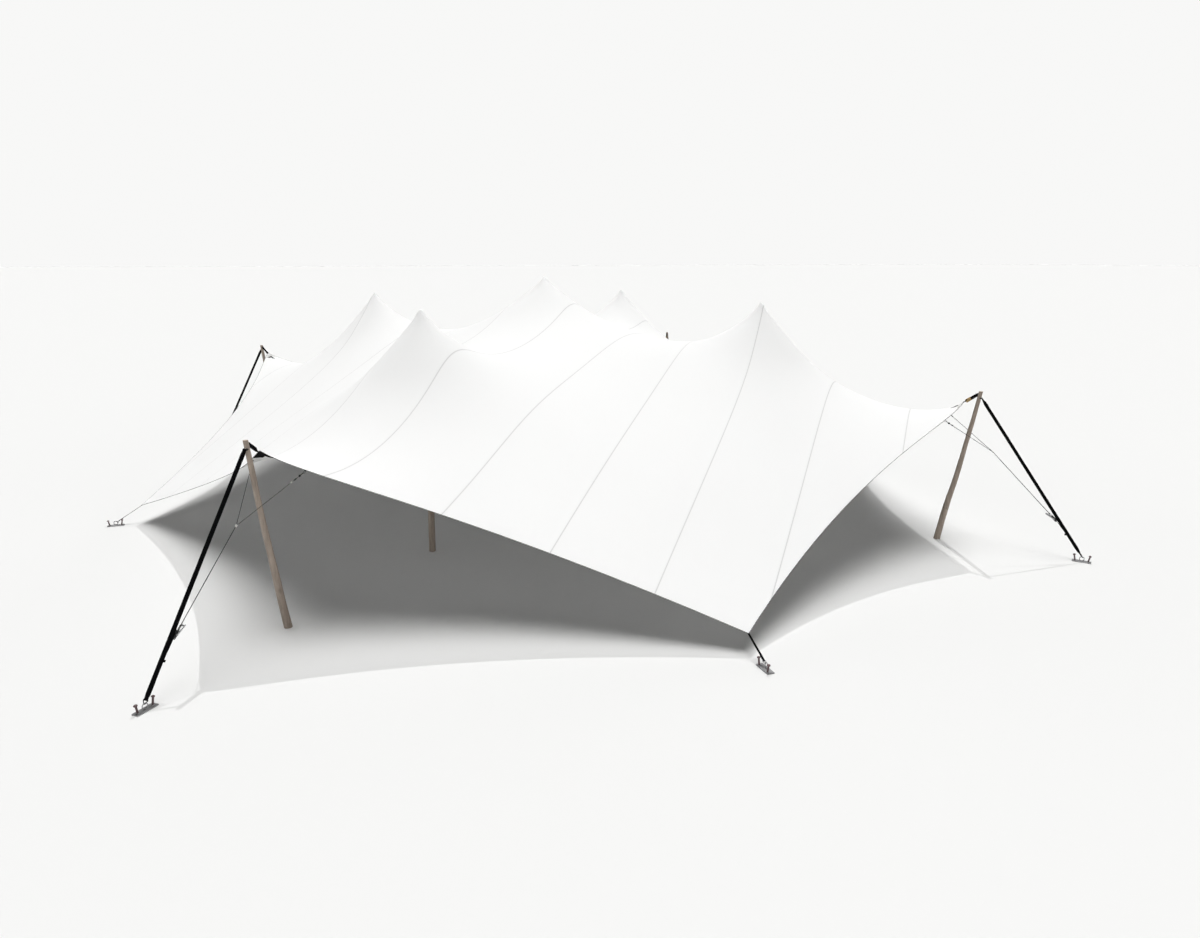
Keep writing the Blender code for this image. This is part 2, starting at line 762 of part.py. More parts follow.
def make_handle(name, pivot, pull, inner, across, materials, collection):
    """Hinged handle: two arms beside the ratchet's body and a bar between their ends."""
    lean = math.radians(HANDLE_REST_DEG)
    reach = -pull * math.cos(lean) + inner * math.sin(lean)
    turn = along(reach, reach.cross(across))
    arms = []
    for sign in (-1, 1):
        offset = across * sign * (RATCHET_WIDTH / 2 + HANDLE_GAP + HANDLE_ARM / 2)
        middle = pivot + reach * (HANDLE_REACH - HANDLE_HEEL) / 2 + offset
        arms.append(box(name, (HANDLE_REACH + HANDLE_HEEL, HANDLE_DEPTH, HANDLE_ARM),
                        Matrix.Translation(middle) @ turn, materials["steel"], collection))
    bar_width = RATCHET_WIDTH + 2 * HANDLE_GAP + HANDLE_ARM
    bar = box("bar", (HANDLE_BAR, HANDLE_BAR_DEPTH, bar_width),
              Matrix.Translation(pivot + reach * (HANDLE_REACH - HANDLE_BAR)) @ turn,
              materials["steel"], collection)
    handle = combine(arms[0], [arms[1], bar], "UNION")
    hole = rod("hole", pivot - across * bar_width, pivot + across * bar_width, PIN_RADIUS + GAP,
               PIN_SIDES, materials["steel"], collection)
    combine(handle, [hole], "DIFFERENCE")
    handle.data.transform(Matrix.Translation(-pivot))
    handle.location = pivot


def make_ratchets(collection, materials):
    """Ratchet bodies with their tails to the guy straps, and the hinged handles."""
    for name, (x, y) in CORNERS.items():
        _, tail_end, pull, inner, across = bridle_frame(x, y)
        centre = tail_end - pull * RATCHET_BEFORE_TAIL
        size = (RATCHET_LENGTH, RATCHET_BODY, RATCHET_WIDTH)
        place = Matrix.Translation(centre) @ along(pull, inner)
        body = box(f"ratchet_{name}", size, place, materials["black"], collection)
        pin_reach = RATCHET_WIDTH / 2 + HANDLE_GAP + HANDLE_ARM + PIN_END
        pivot = centre + inner * PIN_RISE
        pin = rod("pin", pivot - across * pin_reach, pivot + across * pin_reach, PIN_RADIUS,
                  PIN_SIDES, materials["steel"], collection)
        tail_start = centre + pull * (RATCHET_LENGTH / 2 - TAIL_SINK)
        line = tail_end - tail_start
        place = Matrix.Translation((tail_start + tail_end) / 2) @ along(line, inner)
        tail = box("tail", (line.length, TAIL_THICKNESS, TAIL_WIDTH), place, materials["web"],
                   collection)
        combine(body, [pin, tail], "UNION")
        make_handle(f"ratchet_handle_{name}", pivot, pull, inner, across, materials, collection)


def main():
    """Build the tent."""
    clear_scene()
    tent = make_collection("stretch_tent")
    materials = {
        "sheet": make_material("sheet", (0.90, 0.90, 0.90), 0.75),
        "wood": make_material("wood", (0.36, 0.30, 0.25), 0.70),
        "web": make_material("webbing", (0.012, 0.012, 0.013), 0.80),
        "black": make_material("black_metal", (0.02, 0.02, 0.02), 0.45, 0.5),
        "steel": make_material("steel", (0.42, 0.42, 0.43), 0.40, 1.0),
        "stake": make_material("stake", (0.10, 0.07, 0.07), 0.55, 0.6),
    }
    surface = make_sheet(tent, materials["sheet"])
    tree = BVHTree.FromBMesh(surface)
    make_inner_poles(tent, materials["wood"], tree)
    make_posts(tent, materials["wood"])
    make_anchors(tent, materials)
    make_guys(tent, materials)
    make_hold_downs(tent, materials)
    make_corner_ties(tent, materials, surface, tree)
    make_bridles(tent, materials, tree)
    make_ratchets(tent, materials)
    surface.free()


main()
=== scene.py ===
"""Looks of a stretch tent: cloth, timber, webbing, steel and a plain studio, round its solids."""
import math

import bpy
import numpy as np
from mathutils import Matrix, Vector


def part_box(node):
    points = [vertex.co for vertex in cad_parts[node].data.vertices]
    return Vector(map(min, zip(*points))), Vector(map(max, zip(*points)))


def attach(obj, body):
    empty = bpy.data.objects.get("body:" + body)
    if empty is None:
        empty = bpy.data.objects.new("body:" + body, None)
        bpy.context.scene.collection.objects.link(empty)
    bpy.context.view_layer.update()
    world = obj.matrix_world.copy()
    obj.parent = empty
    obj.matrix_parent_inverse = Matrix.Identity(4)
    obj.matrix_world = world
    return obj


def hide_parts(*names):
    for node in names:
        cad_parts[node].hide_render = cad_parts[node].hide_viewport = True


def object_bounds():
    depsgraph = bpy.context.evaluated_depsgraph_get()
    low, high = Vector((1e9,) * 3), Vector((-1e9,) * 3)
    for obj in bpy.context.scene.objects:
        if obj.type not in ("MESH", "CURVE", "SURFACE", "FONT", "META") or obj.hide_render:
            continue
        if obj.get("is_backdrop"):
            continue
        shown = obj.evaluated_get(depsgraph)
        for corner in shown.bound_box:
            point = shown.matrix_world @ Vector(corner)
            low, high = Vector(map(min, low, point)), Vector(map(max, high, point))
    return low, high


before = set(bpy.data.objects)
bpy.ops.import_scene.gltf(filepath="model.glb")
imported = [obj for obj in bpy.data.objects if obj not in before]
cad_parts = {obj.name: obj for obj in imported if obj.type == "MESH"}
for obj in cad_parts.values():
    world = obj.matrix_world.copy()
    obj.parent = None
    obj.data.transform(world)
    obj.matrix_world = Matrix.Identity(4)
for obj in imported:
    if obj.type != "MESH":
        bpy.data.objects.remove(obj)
CAD_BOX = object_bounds()

bl_info = {
    "name": "Stretch Tent Looks",
    "version": (1, 0, 0),
    "blender": (4, 5, 0),
    "location": "View3D > Sidebar > Stretch Tent",
    "description": "Makes the tent's sheet, logs, straps, anchors, ropes and studio",
    "category": "Object",
}

CORNERS = {
    "front_left": (-1, -1),
    "front_right": (1, -1),
    "back_left": (-1, 1),
    "back_right": (1, 1),
}
SIDES = {"front": (0, -1), "right": (1, 0), "back": (0, 1), "left": (-1, 0)}
UP = np.array((0.0, 0.0, 1.0))
ROD_EDGE = 0.0008
SHARED = {}

# The camera and the studio
CAMERA_PLACE = (-5.153, -17.300, 4.808)
CAMERA_DOWN = 13.859
CAMERA_TURN = -20.247
FLOOR_LEVEL = -0.001
SKY_FADE = (0.33, 0.40)
OVERHEAD_FADE = (0.90, 0.99)

# The sheet's plan and heights, the same values as the solid strips have; a peak is its height
# and the reach over which its pole tightens the skin
SHEET_CORNER = (5.545, 6.061, 2.476)
SHEET_FRONT_TIP = (0.0, 8.703, 0.261)
SHEET_SIDE_TIP = (7.895, 0.0, 0.340)
FRONT_EDGE_PULL = ((5.077, 6.359, 2.163), (3.164, 6.369, 1.577))
SIDE_EDGE_PULL = ((5.763, 5.807, 2.267), (5.660, 3.722, 1.701))
INNER_POLE = (3.079, 3.468)
PEAK = (4.035, 0.81)
CENTRE_PEAK = (4.455, 0.88)
PEAK_POWER = 0.78
PEAK_TIP = 0.040
PEAK_DROP = 0.018
EDGE_LENGTHS = (6.573, 6.883)

# The sheet's grid: its cells from edge to pole and from pole to middle, and how they crowd
EDGE_SAMPLES = 400
CELLS = 40
CROWDING = 0.7
RELAX_STEPS = 4000
RELAX_ENOUGH = 1e-12

# The cloth: its seams run square to a level direction, with a lap and a row of stitches each side
SHEET_SLOPE = (0.740, -0.673)
SEAM_SPACING = 1.3333
SEAM_LINE = (0.005, 0.009)
SEAM_ROW = 0.013
SEAM_LAP = (0.016, 0.020)
CLOTH_THROUGH = 0.12
CLOTH_GLOW = (0.97, 0.97, 0.96)

# Logs: radii at foot and top, bow, and (drop from the top, share of the radius) rows of a head
POLE_RADII = (0.055, 0.042)
POLE_SWAY = 0.022
POLE_HEAD = ((0.060, 1.0), (0.050, 0.93), (0.034, 0.62), (0.018, 0.36), (0.006, 0.2), (0.0, 0.12))
POST_RADII = (0.054, 0.032)
POST_SWAY = 0.012
POST_HEAD = ((0.006, 1.0), (0.003, 0.985), (0.0, 0.93))
POST_FOOT = (5.413, 5.886)
POST_TOP = (5.690, 6.266, 2.661)

# Anchors
LEFT_PEG = (6.910, 7.650)
RIGHT_PEG = (6.785, 7.675)
FRONT_PEG = 9.166
SIDE_PEG = 8.350
PEG_SHIFT = -0.030
PLATE_LENGTH = 0.280
PLATE_WIDTH = 0.100
PLATE_THICKNESS = 0.012
STAKE_OFFSET = 0.095
STAKE_RADIUS = 0.012
STAKE_HEIGHT = 0.105
STAKE_LEAN = 0.020
STAKE_HEAD_HEIGHT = 0.022
STAKE_SHIFT = -0.025
RING_RADIUS = 0.034
RING_WIRE = 0.006
RING_SINK = 0.003
RING_SHIFT = 0.018
SADDLE_RADIUS = 0.0125
SADDLE_WIRE = (0.026, 0.005)

# Guy straps, corner ties and hold-downs
GUY_HEIGHT = 2.548
GUY_OFFSET = 0.023
TIE_HEIGHT = 2.590
BRACKET_REACH = 0.043
LUG_REACH = 0.014
WEB_WIDTH = 0.054
WEB_THICKNESS = 0.005
STRAP_THICKNESS = 0.0042
STRAP_PIN = 0.005
STRAP_RETURNS = (0.15, 0.20)
STRAP_TWIST = 60.0
TWIST_OVER = 0.14
LINK_LENGTH = 0.034
LOW_LINK_LENGTH = 0.034
LINK_RADIUS = 0.020
LINK_WIRE = 0.0056
LINK_GAP = 0.0012
LINK_SINK = 0.004
TIE_WIDTH = 0.054
TIE_THICKNESS = 0.0042
TIE_ENDS_AT = (0.02, 0.05, 0.10, 0.15, 0.20)
PATCH_REACH = 0.28
PATCH_DEPTH = 0.0024
PATCH_BELOW = 0.0026
BAND_DEPTH = 0.0032
HOLD_WIDTH = 0.030
HOLD_THICKNESS = 0.0038
HOLD_PIN = 0.0045
HOLD_SEWN = 0.14
RIB_SPACING = 0.0030
PICK_SPACING = 0.0022
ZIGZAG_LENGTH = 0.060
ZIGZAG_REACH = 0.022

# Bridles and ratchets
GAP = 0.0003
JUNCTION = (5.881, 6.480, 1.652)
CLIP_FROM_CORNER = 0.62
CLIP_INSET = 0.030
ROPE_RADIUS = 0.004
TAIL_AT = 2.604
TAIL_THICKNESS = 0.004
TAIL_WEB = (0.0215, 0.0036)
RATCHET_BEFORE_TAIL = 0.310
RATCHET_LENGTH = 0.120
RATCHET_WIDTH = 0.033
RATCHET_SIDE = (0.0118, 0.0150)
PIN_RISE = 0.004
PIN_RADIUS = 0.006
PIN_REACH = 0.028
HOOK_WIRE = 0.0032
HANDLE_REST = 14.0
HANDLE_SIDE = 0.022
HANDLE_THICKNESS = 0.0040
HANDLE_EYE = 0.00965
GRIP_AT = 0.130
SPACER_AT = 0.075
SPACER_RADIUS = 0.0032
PAINT_WORN = (0.06, 0.06, 0.06)

# Outlines that are turned about an axis, as (height, radius) rows; the grip's heights are shares
STAKE_COLLAR = ((0, 0.021), (0.002, 0.0225), (0.004, 0.0215), (0.005, 0.018))
STAKE_HEAD = ((0, 0.0125), (0.001, 0.0190), (0.004, 0.0218), (0.009, 0.0222), (0.014, 0.0200),
              (0.018, 0.0158), (0.021, 0.0095), (0.0222, 0.004))
CLAMP = ((0, 0.0190), (0.002, 0.0215), (0.006, 0.0215), (0.010, 0.0180), (0.015, 0.0090),
         (0.021, 0.0055))
RATCHET_HUB = ((0, 0.0115), (0.0022, 0.0115), (0.0034, 0.0100))
RATCHET_SPOOL = ((0, 0.0150), (0.0008, 0.0158), (0.0222, 0.0158), (0.0230, 0.0150))
HANDLE_BOSS = ((0, 0.0058), (0.0014, 0.0055), (0.0022, 0.0040))
HANDLE_GRIP = np.array(((0, 0.0068), (0.07, 0.0074), (0.28, 0.0086), (0.5, 0.0090),
                        (0.72, 0.0086), (0.93, 0.0074), (1.0, 0.0068)))

# Bands under a corner as (by the front edge, length, width, depth below the top), and the beads on
# a bridle's leg as (place, radius, length for its radius, finish)
CORNER_BANDS = ((True, 0.15, 0.050, 0.0046), (False, 0.36, 0.150, 0.0044))
LEG_BEADS = ((0.062, 0.0090, 3.0, 1), (0.120, 0.0125, 1.1, 2))

# A ratchet's end bars as (place, radius), a handle's arm as (way along it, depth), and the rope's
# hook as (along, aside) corners
END_BAR_REACH = 0.0165
END_BARS = ((-0.048, 0.0045), (0.046, 0.0050))
HANDLE_ARM = ((0.0095, 0.0125), (0.0180, 0.0165), (0.0500, 0.0170), (0.0900, 0.0150),
              (0.1200, 0.0150), (0.1420, 0.0160), (0.1495, 0.0120))
ROPE_HOOK = ((-0.026, 0.0), (-0.020, 0.008), (0.012, 0.009), (0.020, 0.0), (0.012, -0.009),
             (-0.020, -0.008))


# Meshes from arrays

def unit(vector):
    """The vector, or each row of vectors, at length one."""
    vector = np.asarray(vector, float)
    return vector / np.linalg.norm(vector, axis=-1, keepdims=True)


def eased(share):
    """Smooth step from 0 to 1."""
    share = np.clip(share, 0.0, 1.0)
    return share * share * (3 - 2 * share)


def quads_of(rows, columns):
    """Corner numbers of the quads of a grid of points."""
    index = np.arange(rows * columns).reshape(rows, columns)
    a, b = index[:-1, :-1].ravel(), index[1:, :-1].ravel()
    c, d = index[1:, 1:].ravel(), index[:-1, 1:].ravel()
    return np.stack((a, b, c, d), axis=1)


def split_quads(quads):
    """Two triangles from each quad, all split the same way."""
    return np.concatenate((quads[:, [0, 1, 2]], quads[:, [0, 2, 3]]))


def volume_of(points, faces):
    """Signed volume between faces and the origin, by fans of triangles."""
    first = points[faces[:, :1]]
    one, two = points[faces[:, 1:-1]], points[faces[:, 2:]]
    return float((first * np.cross(one, two)).sum() / 6)


class Shape:
    """Points, faces, face materials and UVs gathered for one mesh."""

    def __init__(self):
        self.points, self.faces, self.looks, self.uvs = [], [], [], []
        self.count = 0

    def add(self, points, faces, uvs, looks):
        """Add points (n, 3), arrays of faces (m, k) that count from 0, their UVs and materials."""
        for group, uv, look in zip(faces, uvs, looks):
            self.faces.extend((group + self.count).tolist())
            self.uvs.append(np.asarray(uv, float).reshape(-1, 2))
            self.looks.extend([look] * len(group))
        self.points.append(points)
        self.count += len(points)

    def closed(self, points, faces, uvs, looks):
        """Add a closed form, turned so that its faces point out."""
        middle = points - points.mean(axis=0)
        if sum(volume_of(middle, group) for group in faces) < 0:
            faces = [group[:, ::-1] for group in faces]
            uvs = [uv[:, ::-1] for uv in uvs]
        self.add(points, faces, uvs, looks)

    def build(self, name, materials, sharp=40.0):
        """Make the object, at the origin, smooth but for edges sharper than an angle."""
        mesh = bpy.data.meshes.new(name)
        mesh.from_pydata(np.concatenate(self.points), [], self.faces)
        for material in materials:
            mesh.materials.append(material)
        mesh.polygons.foreach_set("material_index", np.array(self.looks, np.int32))
        mesh.polygons.foreach_set("use_smooth", np.ones(len(self.faces), bool))
        layer = mesh.uv_layers.new(name="UVMap")
        layer.data.foreach_set("uv", np.concatenate(self.uvs).astype(np.float32).ravel())
        mesh.set_sharp_from_angle(angle=math.radians(sharp))
        mesh.update()
        obj = bpy.data.objects.new(name, mesh)
        bpy.context.scene.collection.objects.link(obj)
        return obj


def run_of(points, loop=False):
    """Distance along a row of points, back to the first one too if it is a loop."""
    if loop:
        points = np.concatenate((points, points[:1]))
    return np.concatenate(([0.0], np.cumsum(np.linalg.norm(np.diff(points, axis=0), axis=1))))


def sweep(shape, path, profile, across, look=0, loop=False, ahead=None, cap_look=None):
    """Carry a closed profile along a path: point = path + side * profile x + rise * profile y.

    Side is the part of the across direction that is square to the path, and rise is square to
    both. The profile is (n, 2), or (rows, n, 2) where it changes. A loop joins its own start,
    and any other path gets a cap at each end. UVs are metres along the path and round the
    profile, and on the caps the profile's own x and y.
    """
    path = np.asarray(path, float)
    profile = np.asarray(profile, float)
    if profile.ndim == 2:
        profile = np.broadcast_to(profile, (len(path), *profile.shape))
    if ahead is None and loop:
        ahead = unit(np.roll(path, -1, axis=0) - np.roll(path, 1, axis=0))
    elif ahead is None:
        ahead = unit(np.gradient(path, axis=0))
    ahead = np.broadcast_to(ahead, path.shape)
    across = np.broadcast_to(across, path.shape)
    side = unit(across - ahead * (ahead * across).sum(axis=1, keepdims=True))
    rise = np.cross(ahead, side)
    rows, columns = profile.shape[:2]
    points = path[:, None] + side[:, None] * profile[..., :1] + rise[:, None] * profile[..., 1:]
    corners = quads_of(rows + 1 if loop else rows, columns + 1)
    faces = corners // (columns + 1) % rows * columns + corners % (columns + 1) % columns
    widest = profile[np.argmax(np.ptp(profile[..., 0], axis=1))]
    run = run_of(path, True) if loop else run_of(points[:, 0])
    uv = np.stack(np.meshgrid(run, run_of(widest, True), indexing="ij"), axis=-1)
    uv = uv.reshape(-1, 2)[corners]
    points = points.reshape(-1, 3)
    if loop:
        shape.closed(points, [faces], [uv], [look])
        return
    ends = np.stack((np.arange(columns)[::-1], np.arange(columns) + (rows - 1) * columns))
    end_uv = np.stack((profile[0][::-1], profile[-1]))
    looks = [look, look if cap_look is None else cap_look]
    shape.closed(points, [faces, ends], [uv, end_uv], looks)


def circle(radius, sides):
    """Round profile."""
    turn = np.linspace(0, 2 * math.pi, sides, endpoint=False)
    return radius * np.stack((np.cos(turn), np.sin(turn)), axis=1)


def oblong(width, depth, corner, steps=3):
    """Rectangular profile with round corners: a quarter circle carried to each corner in turn."""
    turn = np.linspace(0, math.pi / 2, steps + 1)
    arcs = []
    for number, (x, y) in enumerate(((1, 1), (-1, 1), (-1, -1), (1, -1))):
        angle = turn + number * math.pi / 2
        centre = np.array((x * (width / 2 - corner), y * (depth / 2 - corner)))
        arcs.append(centre + corner * np.stack((np.cos(angle), np.sin(angle)), axis=1))
    return np.concatenate(arcs)


def line(start, end, count=2):
    """Even points on a straight line."""
    share = np.linspace(0, 1, count)[:, None]
    return np.asarray(start, float) * (1 - share) + np.asarray(end, float) * share


def arc(centre, first, second, radius, start, end, count):
    """Points round a centre, from one angle to another, in the plane of two directions."""
    turn = np.linspace(start, end, count)[:, None]
    return centre + radius * (np.asarray(first) * np.cos(turn) + np.asarray(second) * np.sin(turn))


def softened(points):
    """Closed loop with its corners cut three times over, until it is a smooth curve."""
    points = np.asarray(points, float)
    for _ in range(3):
        after = np.roll(points, -1, axis=0)
        points = np.stack((0.75 * points + 0.25 * after, 0.25 * points + 0.75 * after), axis=1)
        points = points.reshape(-1, 3)
    return points


def square_to(axis):
    """A direction square to an axis."""
    return unit(np.cross(axis, UP if abs(axis[2]) < 0.9 else (1.0, 0.0, 0.0)))


def turned(shape, base, axis, rows, sides, look=0):
    """Turn a profile of (height, radius) rows about an axis through a base point."""
    axis = unit(axis)
    heights, radii = np.array(rows, float).T
    path = np.asarray(base) + axis * heights[:, None]
    sweep(shape, path, circle(1.0, sides) * radii[:, None, None], square_to(axis), look, ahead=axis)


def rod(shape, start, end, radius, sides, look):
    """Straight round rod with its end edges broken."""
    start, end = np.asarray(start, float), np.asarray(end, float)
    length = np.linalg.norm(end - start)
    rows = ((0, radius - ROD_EDGE), (ROD_EDGE, radius), (length - ROD_EDGE, radius),
            (length, radius - ROD_EDGE))
    turned(shape, start, end - start, rows, sides, look)


def cross_bar(shape, middle, across, half, radius, sides, look=0):
    """Round rod that reaches equally far to both sides of its middle."""
    rod(shape, middle - across * half, middle + across * half, radius, sides, look)


def bead(shape, centre, radius, axis, look, long):
    """Ball or barrel: the half circle of its outline turned about its axis."""
    turn = np.linspace(-0.46 * math.pi, 0.46 * math.pi, 9)
    rows = np.stack((radius * long * np.sin(turn), radius * np.cos(turn)), axis=1)
    turned(shape, centre, axis, rows, 16, look)


def plate(shape, base, axis, across, size, corner, bevel, look=0):
    """Flat plate with round corners and bevelled rims, raised from a base point along an axis."""
    axis = unit(axis)
    width, depth, height = size
    heights = np.array((0.0, bevel, height - bevel, height))
    rows = [oblong(width - 2 * inset, depth - 2 * inset, corner - inset / 2)
            for inset in (bevel, 0.0, 0.0, bevel)]
    sweep(shape, np.asarray(base) + axis * heights[:, None], np.array(rows), across, look,
          ahead=axis)


def ring(shape, centre, normal, radius, wire_radius, look=0):
    """Ring of round wire about a normal."""
    normal = unit(normal)
    across = square_to(normal)
    path = arc(centre, across, np.cross(normal, across), radius, 0, 2 * math.pi, 33)[:-1]
    sweep(shape, path, circle(wire_radius, 10), normal, look, loop=True)


def delta_link(shape, top, side, pull, wide, narrow, length, wire_radius):
    """Three-sided wire link: a straight bar for a strap, and two sides that meet in a bow."""
    corners = [top + side * x + pull * y for x, y in (
        (-wide, 0), (-wide * 0.3, 0), (wide * 0.3, 0), (wide, 0), (wide, length * 0.12),
        (narrow, length * 0.8), (narrow, length), (-narrow, length), (-narrow, length * 0.8),
        (-wide, length * 0.12))]
    sweep(shape, softened(corners), circle(wire_radius, 10), np.cross(side, pull), 1, loop=True)


def mirrored(points, x, y):
    """Points of the front-left corner carried to another corner."""
    return np.asarray(points) * np.array((-x, -y, 1.0))


# The sheet

def edge_line(first, pull, last, places):
    """Cubic curve between two tips, read at even shares of its length."""
    fine = np.linspace(0.0, 1.0, EDGE_SAMPLES)[:, None]
    a, b, c, d = (np.array(point) for point in (first, *pull, last))
    curve = (1 - fine) ** 3 * a + 3 * (1 - fine) ** 2 * fine * b
    curve = curve + 3 * (1 - fine) * fine**2 * c + fine**3 * d
    run = run_of(curve)
    wanted = np.asarray(places) * run[-1]
    return np.stack([np.interp(wanted, run, curve[:, axis]) for axis in range(3)], axis=1)


def side_line(first, pull, last, places, flip):
    """A whole side: one edge from a corner to its low tip, and the mirror image of it."""
    places = np.asarray(places)
    points = edge_line(first, pull, last, np.where(places <= 0.5, 2 * places, 2 - 2 * places))
    points[places > 0.5] *= np.array(flip)
    return points


def sheet_frame(across, back):
    """Blend of the four sides: opposite sides mixed both ways, less the mix of the corners."""
    low, flip_x, flip_y = np.array(((-1.0, -1.0, 1.0), (-1.0, 1.0, 1.0), (1.0, -1.0, 1.0)))
    corner = np.array(SHEET_CORNER) * low
    front, left = (
        side_line(corner, np.array(pull) * low, np.array(tip) * low, places, flip)
        for pull, tip, places, flip in ((FRONT_EDGE_PULL, SHEET_FRONT_TIP, across, flip_x),
                                        (SIDE_EDGE_PULL, SHEET_SIDE_TIP, back, flip_y)))
    rear, right = front * flip_y, left * flip_x
    u = np.asarray(across)[:, None, None]
    v = np.asarray(back)[None, :, None]
    flat = (1 - v) * front[:, None] + v * rear[:, None] + (1 - u) * left[None] + u * right[None]
    corners = (1 - u) * (1 - v) * corner + u * (1 - v) * corner * flip_x
    return flat - (corners + (1 - u) * v * corner * flip_y + u * v * corner * low)


def newton(find, place, target, step, rounds, most=1.0):
    """Place from 0 to a highest value at which a plan is at a target, by Newton steps.

    Find gives the plan point of a place. Its slopes are differences over a small step.
    """
    for _ in range(rounds):
        here = find(*place)
        slopes = [(find(*(place + move)) - here) / step for move in np.eye(2) * step]
        move = np.linalg.solve(np.stack(slopes, axis=1), target - here)
        place = np.clip(place + move, 0, most)
    return place


def pole_place():
    """Place (across, back) of the front-left inner pole in the sheet."""
    def plan(u, v):
        return sheet_frame([u], [v])[0, 0, :2]

    return newton(plan, np.array((0.25, 0.25)), -np.array(INNER_POLE), 1e-4, 12)


def graded(pole):
    """Places from 0 to 1 that crowd towards the poles and the centre."""
    even = np.linspace(0, 1, CELLS + 1)
    outer = pole * (1 - (1 - even) ** 1.5)
    inner = pole + (0.5 - pole) * (even - CROWDING * np.sin(2 * math.pi * even) / (2 * math.pi))
    half = np.concatenate((outer, inner[1:]))
    return np.concatenate((half, 1 - half[-2::-1]))


def stiffness(plan, faces):
    """Edge weights of a triangle mesh: half the cotangent of the angle facing each edge."""
    rows = []
    for a, b, c in ((0, 1, 2), (1, 2, 0), (2, 0, 1)):
        u = plan[faces[:, a]] - plan[faces[:, c]]
        v = plan[faces[:, b]] - plan[faces[:, c]]
        cross = np.abs(u[:, 0] * v[:, 1] - u[:, 1] * v[:, 0])
        rows.append((faces[:, a], faces[:, b], 0.5 * (u * v).sum(axis=1) / cross))
    return [np.concatenate(item) for item in zip(*rows)]


def relax(height, held, plan, faces, tension):
    """Heights of a taut skin: each free point is the weighted mean of those round it.

    Tension gives how many times tauter the skin is at each row of plan points. The steps are
    those of the conjugate gradient method, scaled by the sum of the weights at each point.
    """
    first, second, weight = stiffness(plan, faces)
    weight = weight * tension((plan[first] + plan[second]) / 2)
    count = len(height)

    def pull(values):
        flow = weight * (values[first] - values[second])
        total = np.bincount(first, flow, count) - np.bincount(second, flow, count)
        return np.where(held, 0.0, total)

    diagonal = np.bincount(first, weight, count) + np.bincount(second, weight, count)
    height = height.copy()
    rest = -pull(height)
    scaled = rest / diagonal
    step = scaled.copy()
    power = (rest * scaled).sum()
    for _ in range(RELAX_STEPS):
        drag = pull(step)
        length = power / (step * drag).sum()
        height += length * step
        rest -= length * drag
        scaled = rest / diagonal
        fresh = (rest * scaled).sum()
        if fresh < RELAX_ENOUGH:
            break
        step = scaled + (fresh / power) * step
        power = fresh
    return height


def sheet_points(across, back):
    """The sheet's top: its blended plan with the heights of a skin pushed up by the poles.

    The skin is held at its edges and on a small dome over each pole. Round a pole its tension
    grows as a power of reach / distance, so its side runs nearly straight there.
    """
    grid = sheet_frame(across, back)
    rows, columns = grid.shape[:2]
    faces = split_quads(quads_of(rows, columns))
    points = grid.reshape(-1, 3)
    held = np.zeros((rows, columns), bool)
    held[[0, -1], :] = True
    held[:, [0, -1]] = True
    held = held.ravel()
    peaks = [(x * INNER_POLE[0], y * INNER_POLE[1], *PEAK) for x, y in CORNERS.values()]
    peaks.append((0.0, 0.0, *CENTRE_PEAK))
    for x, y, top, _ in peaks:
        distance = np.hypot(points[:, 0] - x, points[:, 1] - y)
        near = distance < PEAK_TIP
        held |= near
        points[near, 2] = top - PEAK_DROP * (distance[near] / PEAK_TIP) ** 2

    def tension(places):
        found = np.ones(len(places))
        for x, y, _, reach in peaks:
            distance = np.hypot(places[:, 0] - x, places[:, 1] - y)
            tighter = (reach / np.hypot(distance, PEAK_TIP)) ** PEAK_POWER
            found = np.maximum(found, tighter)
        return found

    points[:, 2] = relax(points[:, 2], held, points[:, :2], faces, tension)
    return points.reshape(rows, columns, 3)


def surface_normals(grid):
    """Unit normals of a grid surface, from the differences along its rows and columns."""
    along_rows = np.gradient(grid, axis=0)
    along_columns = np.gradient(grid, axis=1)
    return unit(np.cross(along_rows, along_columns))


# Materials

